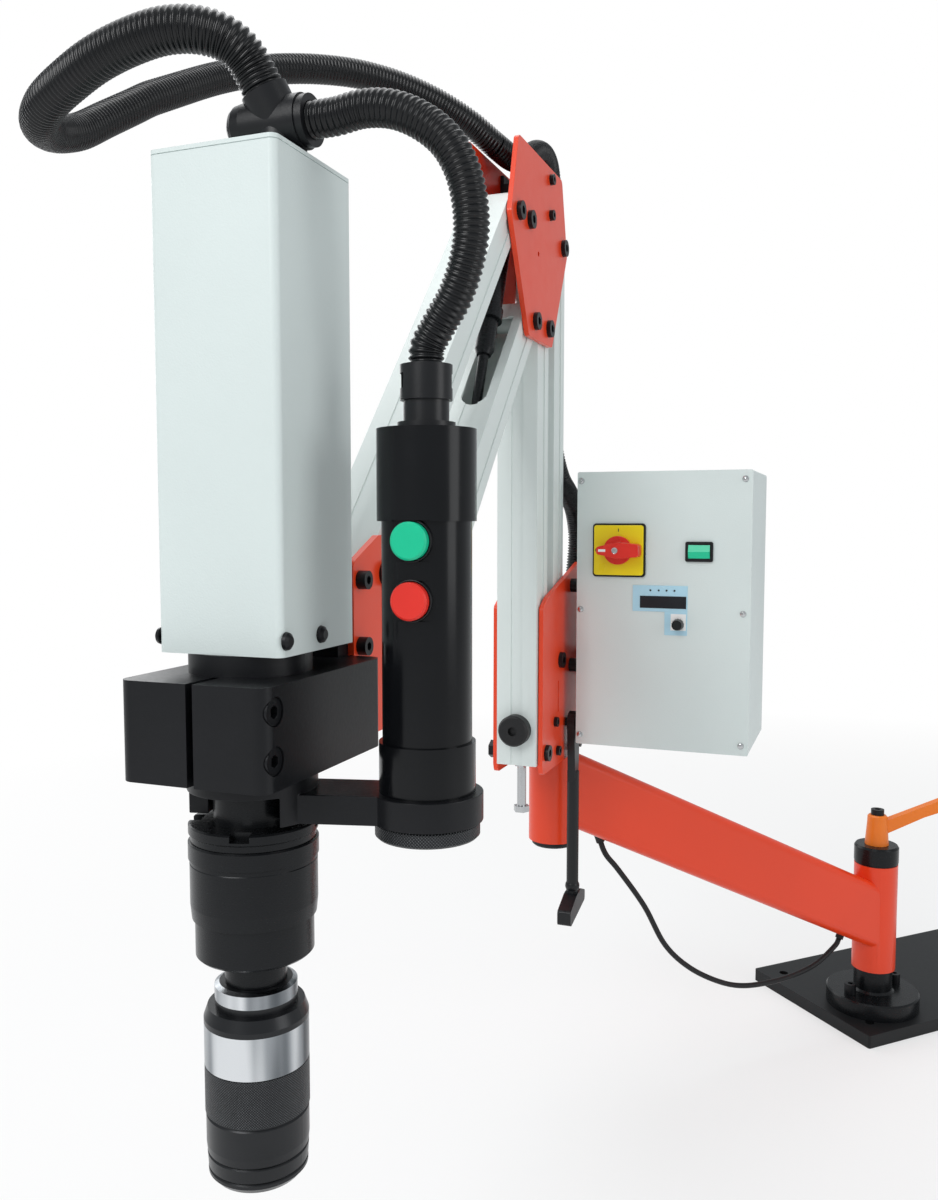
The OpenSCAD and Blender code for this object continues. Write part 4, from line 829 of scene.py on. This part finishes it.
def button_rings():
    """Black rings round the lenses of the start and stop buttons."""
    clear_selection()
    bpy.ops.mesh.primitive_cylinder_add(
        vertices=64, radius=12.6 * MM, depth=3.4 * MM, end_fill_type="NOTHING",
        location=Vector((GRIP.x, GRIP.y, START_Z)) - PUSH * RING_OUT,
        rotation=(math.pi / 2, 0, PUSH_TURN),
    )
    ring = bpy.context.object
    wall = ring.modifiers.new("wall", "SOLIDIFY")
    wall.thickness, wall.offset = 1.1 * MM, -1
    bpy.ops.object.modifier_apply(modifier="wall")
    finished(ring, "start_button_ring", black_plastic, "head", 0.0004, 3)
    moved_copy(ring, "stop_button_ring", (0, 0, -STOP_BELOW_START), "head")


button_rings()
display_window()
speed_plate()
display_keys()
switch_marks()

# ---------------------------------------------------------------- floor and light

WHITE = (1, 1, 1, 1)
FLOOR_GREY = (0.8, 0.8, 0.8, 1)


def studio_white(name):
    """A pale surface that keeps shadows near the part and turns white with distance."""
    f = Finish(name)
    distance = f.node("ShaderNodeVectorMath", {"operation": "LENGTH"}, {0: f.place()}, output=1)
    camera_ray = f.node("ShaderNodeLightPath", output="Is Camera Ray")
    gloss_ray = f.node("ShaderNodeLightPath", output="Is Glossy Ray")
    f.plug(f.shader, {"Base Color": FLOOR_GREY, "Roughness": 0.9, "Emission Color": WHITE,
                      "Specular IOR Level": 0.1})
    lit = Level(f, f.shader.outputs[0])
    white = f.node("ShaderNodeEmission", {}, {"Color": WHITE, "Strength": 1.0})
    clamped = {"operation": "ADD", "use_clamp": True}
    whiteness = f.node("ShaderNodeMath", clamped, {0: distance * 0.2, 1: 0.5})
    share = camera_ray * whiteness + gloss_ray * 0.3
    mixed = f.node("ShaderNodeMixShader", {}, {0: share, 1: lit, 2: white})
    f.plug(f.tree.nodes["Material Output"], {"Surface": mixed})
    return f.material


def studio_floor():
    clear_selection()
    bpy.ops.mesh.primitive_plane_add(size=14, location=(0, 0, -0.0002))
    floor = bpy.context.object
    floor.name = "floor"
    floor.data.materials.append(studio_white("floor_white"))


def studio_sky():
    """Soft light from all round, which the camera itself sees as plain white."""
    world = bpy.data.worlds.new("studio")
    bpy.context.scene.world = world
    world.use_nodes = True
    tree = world.node_tree
    light = tree.nodes["Background"]
    light.inputs["Color"].default_value = (0.93, 0.97, 1.0, 1)
    light.inputs["Strength"].default_value = 0.55
    white = tree.nodes.new("ShaderNodeBackground")
    white.inputs["Color"].default_value = WHITE
    white.inputs["Strength"].default_value = 1.0
    rays = tree.nodes.new("ShaderNodeLightPath")
    either = tree.nodes.new("ShaderNodeMixShader")
    tree.links.new(rays.outputs["Is Camera Ray"], either.inputs[0])
    tree.links.new(light.outputs[0], either.inputs[1])
    tree.links.new(white.outputs[0], either.inputs[2])
    tree.links.new(either.outputs[0], tree.nodes["World Output"].inputs["Surface"])


LIT_POINT = Vector((-0.8, -0.3, 0.6))


def soft_box(name, place, width, height, power):
    """A white rectangular lamp that looks at the middle of the part."""
    data = bpy.data.lights.new(name, "AREA")
    data.shape, data.size, data.size_y = "RECTANGLE", width, height
    data.energy = power
    lamp = bpy.data.objects.new(name, data)
    bpy.context.scene.collection.objects.link(lamp)
    lamp.location = place
    aim(lamp, LIT_POINT - Vector(place))


studio_floor()
studio_sky()
soft_box("key", (-2.9, -1.6, 2.3), 1.2, 1.8, 44)
soft_box("fill", (0.9, -2.4, 1.3), 1.2, 1.8, 16)
soft_box("top", (-0.6, 0.4, 2.9), 2.0, 2.0, 26)
soft_box("back", (-1.4, 2.2, 1.6), 1.6, 1.4, 14)

bpy.context.scene.view_settings.view_transform = "Standard"
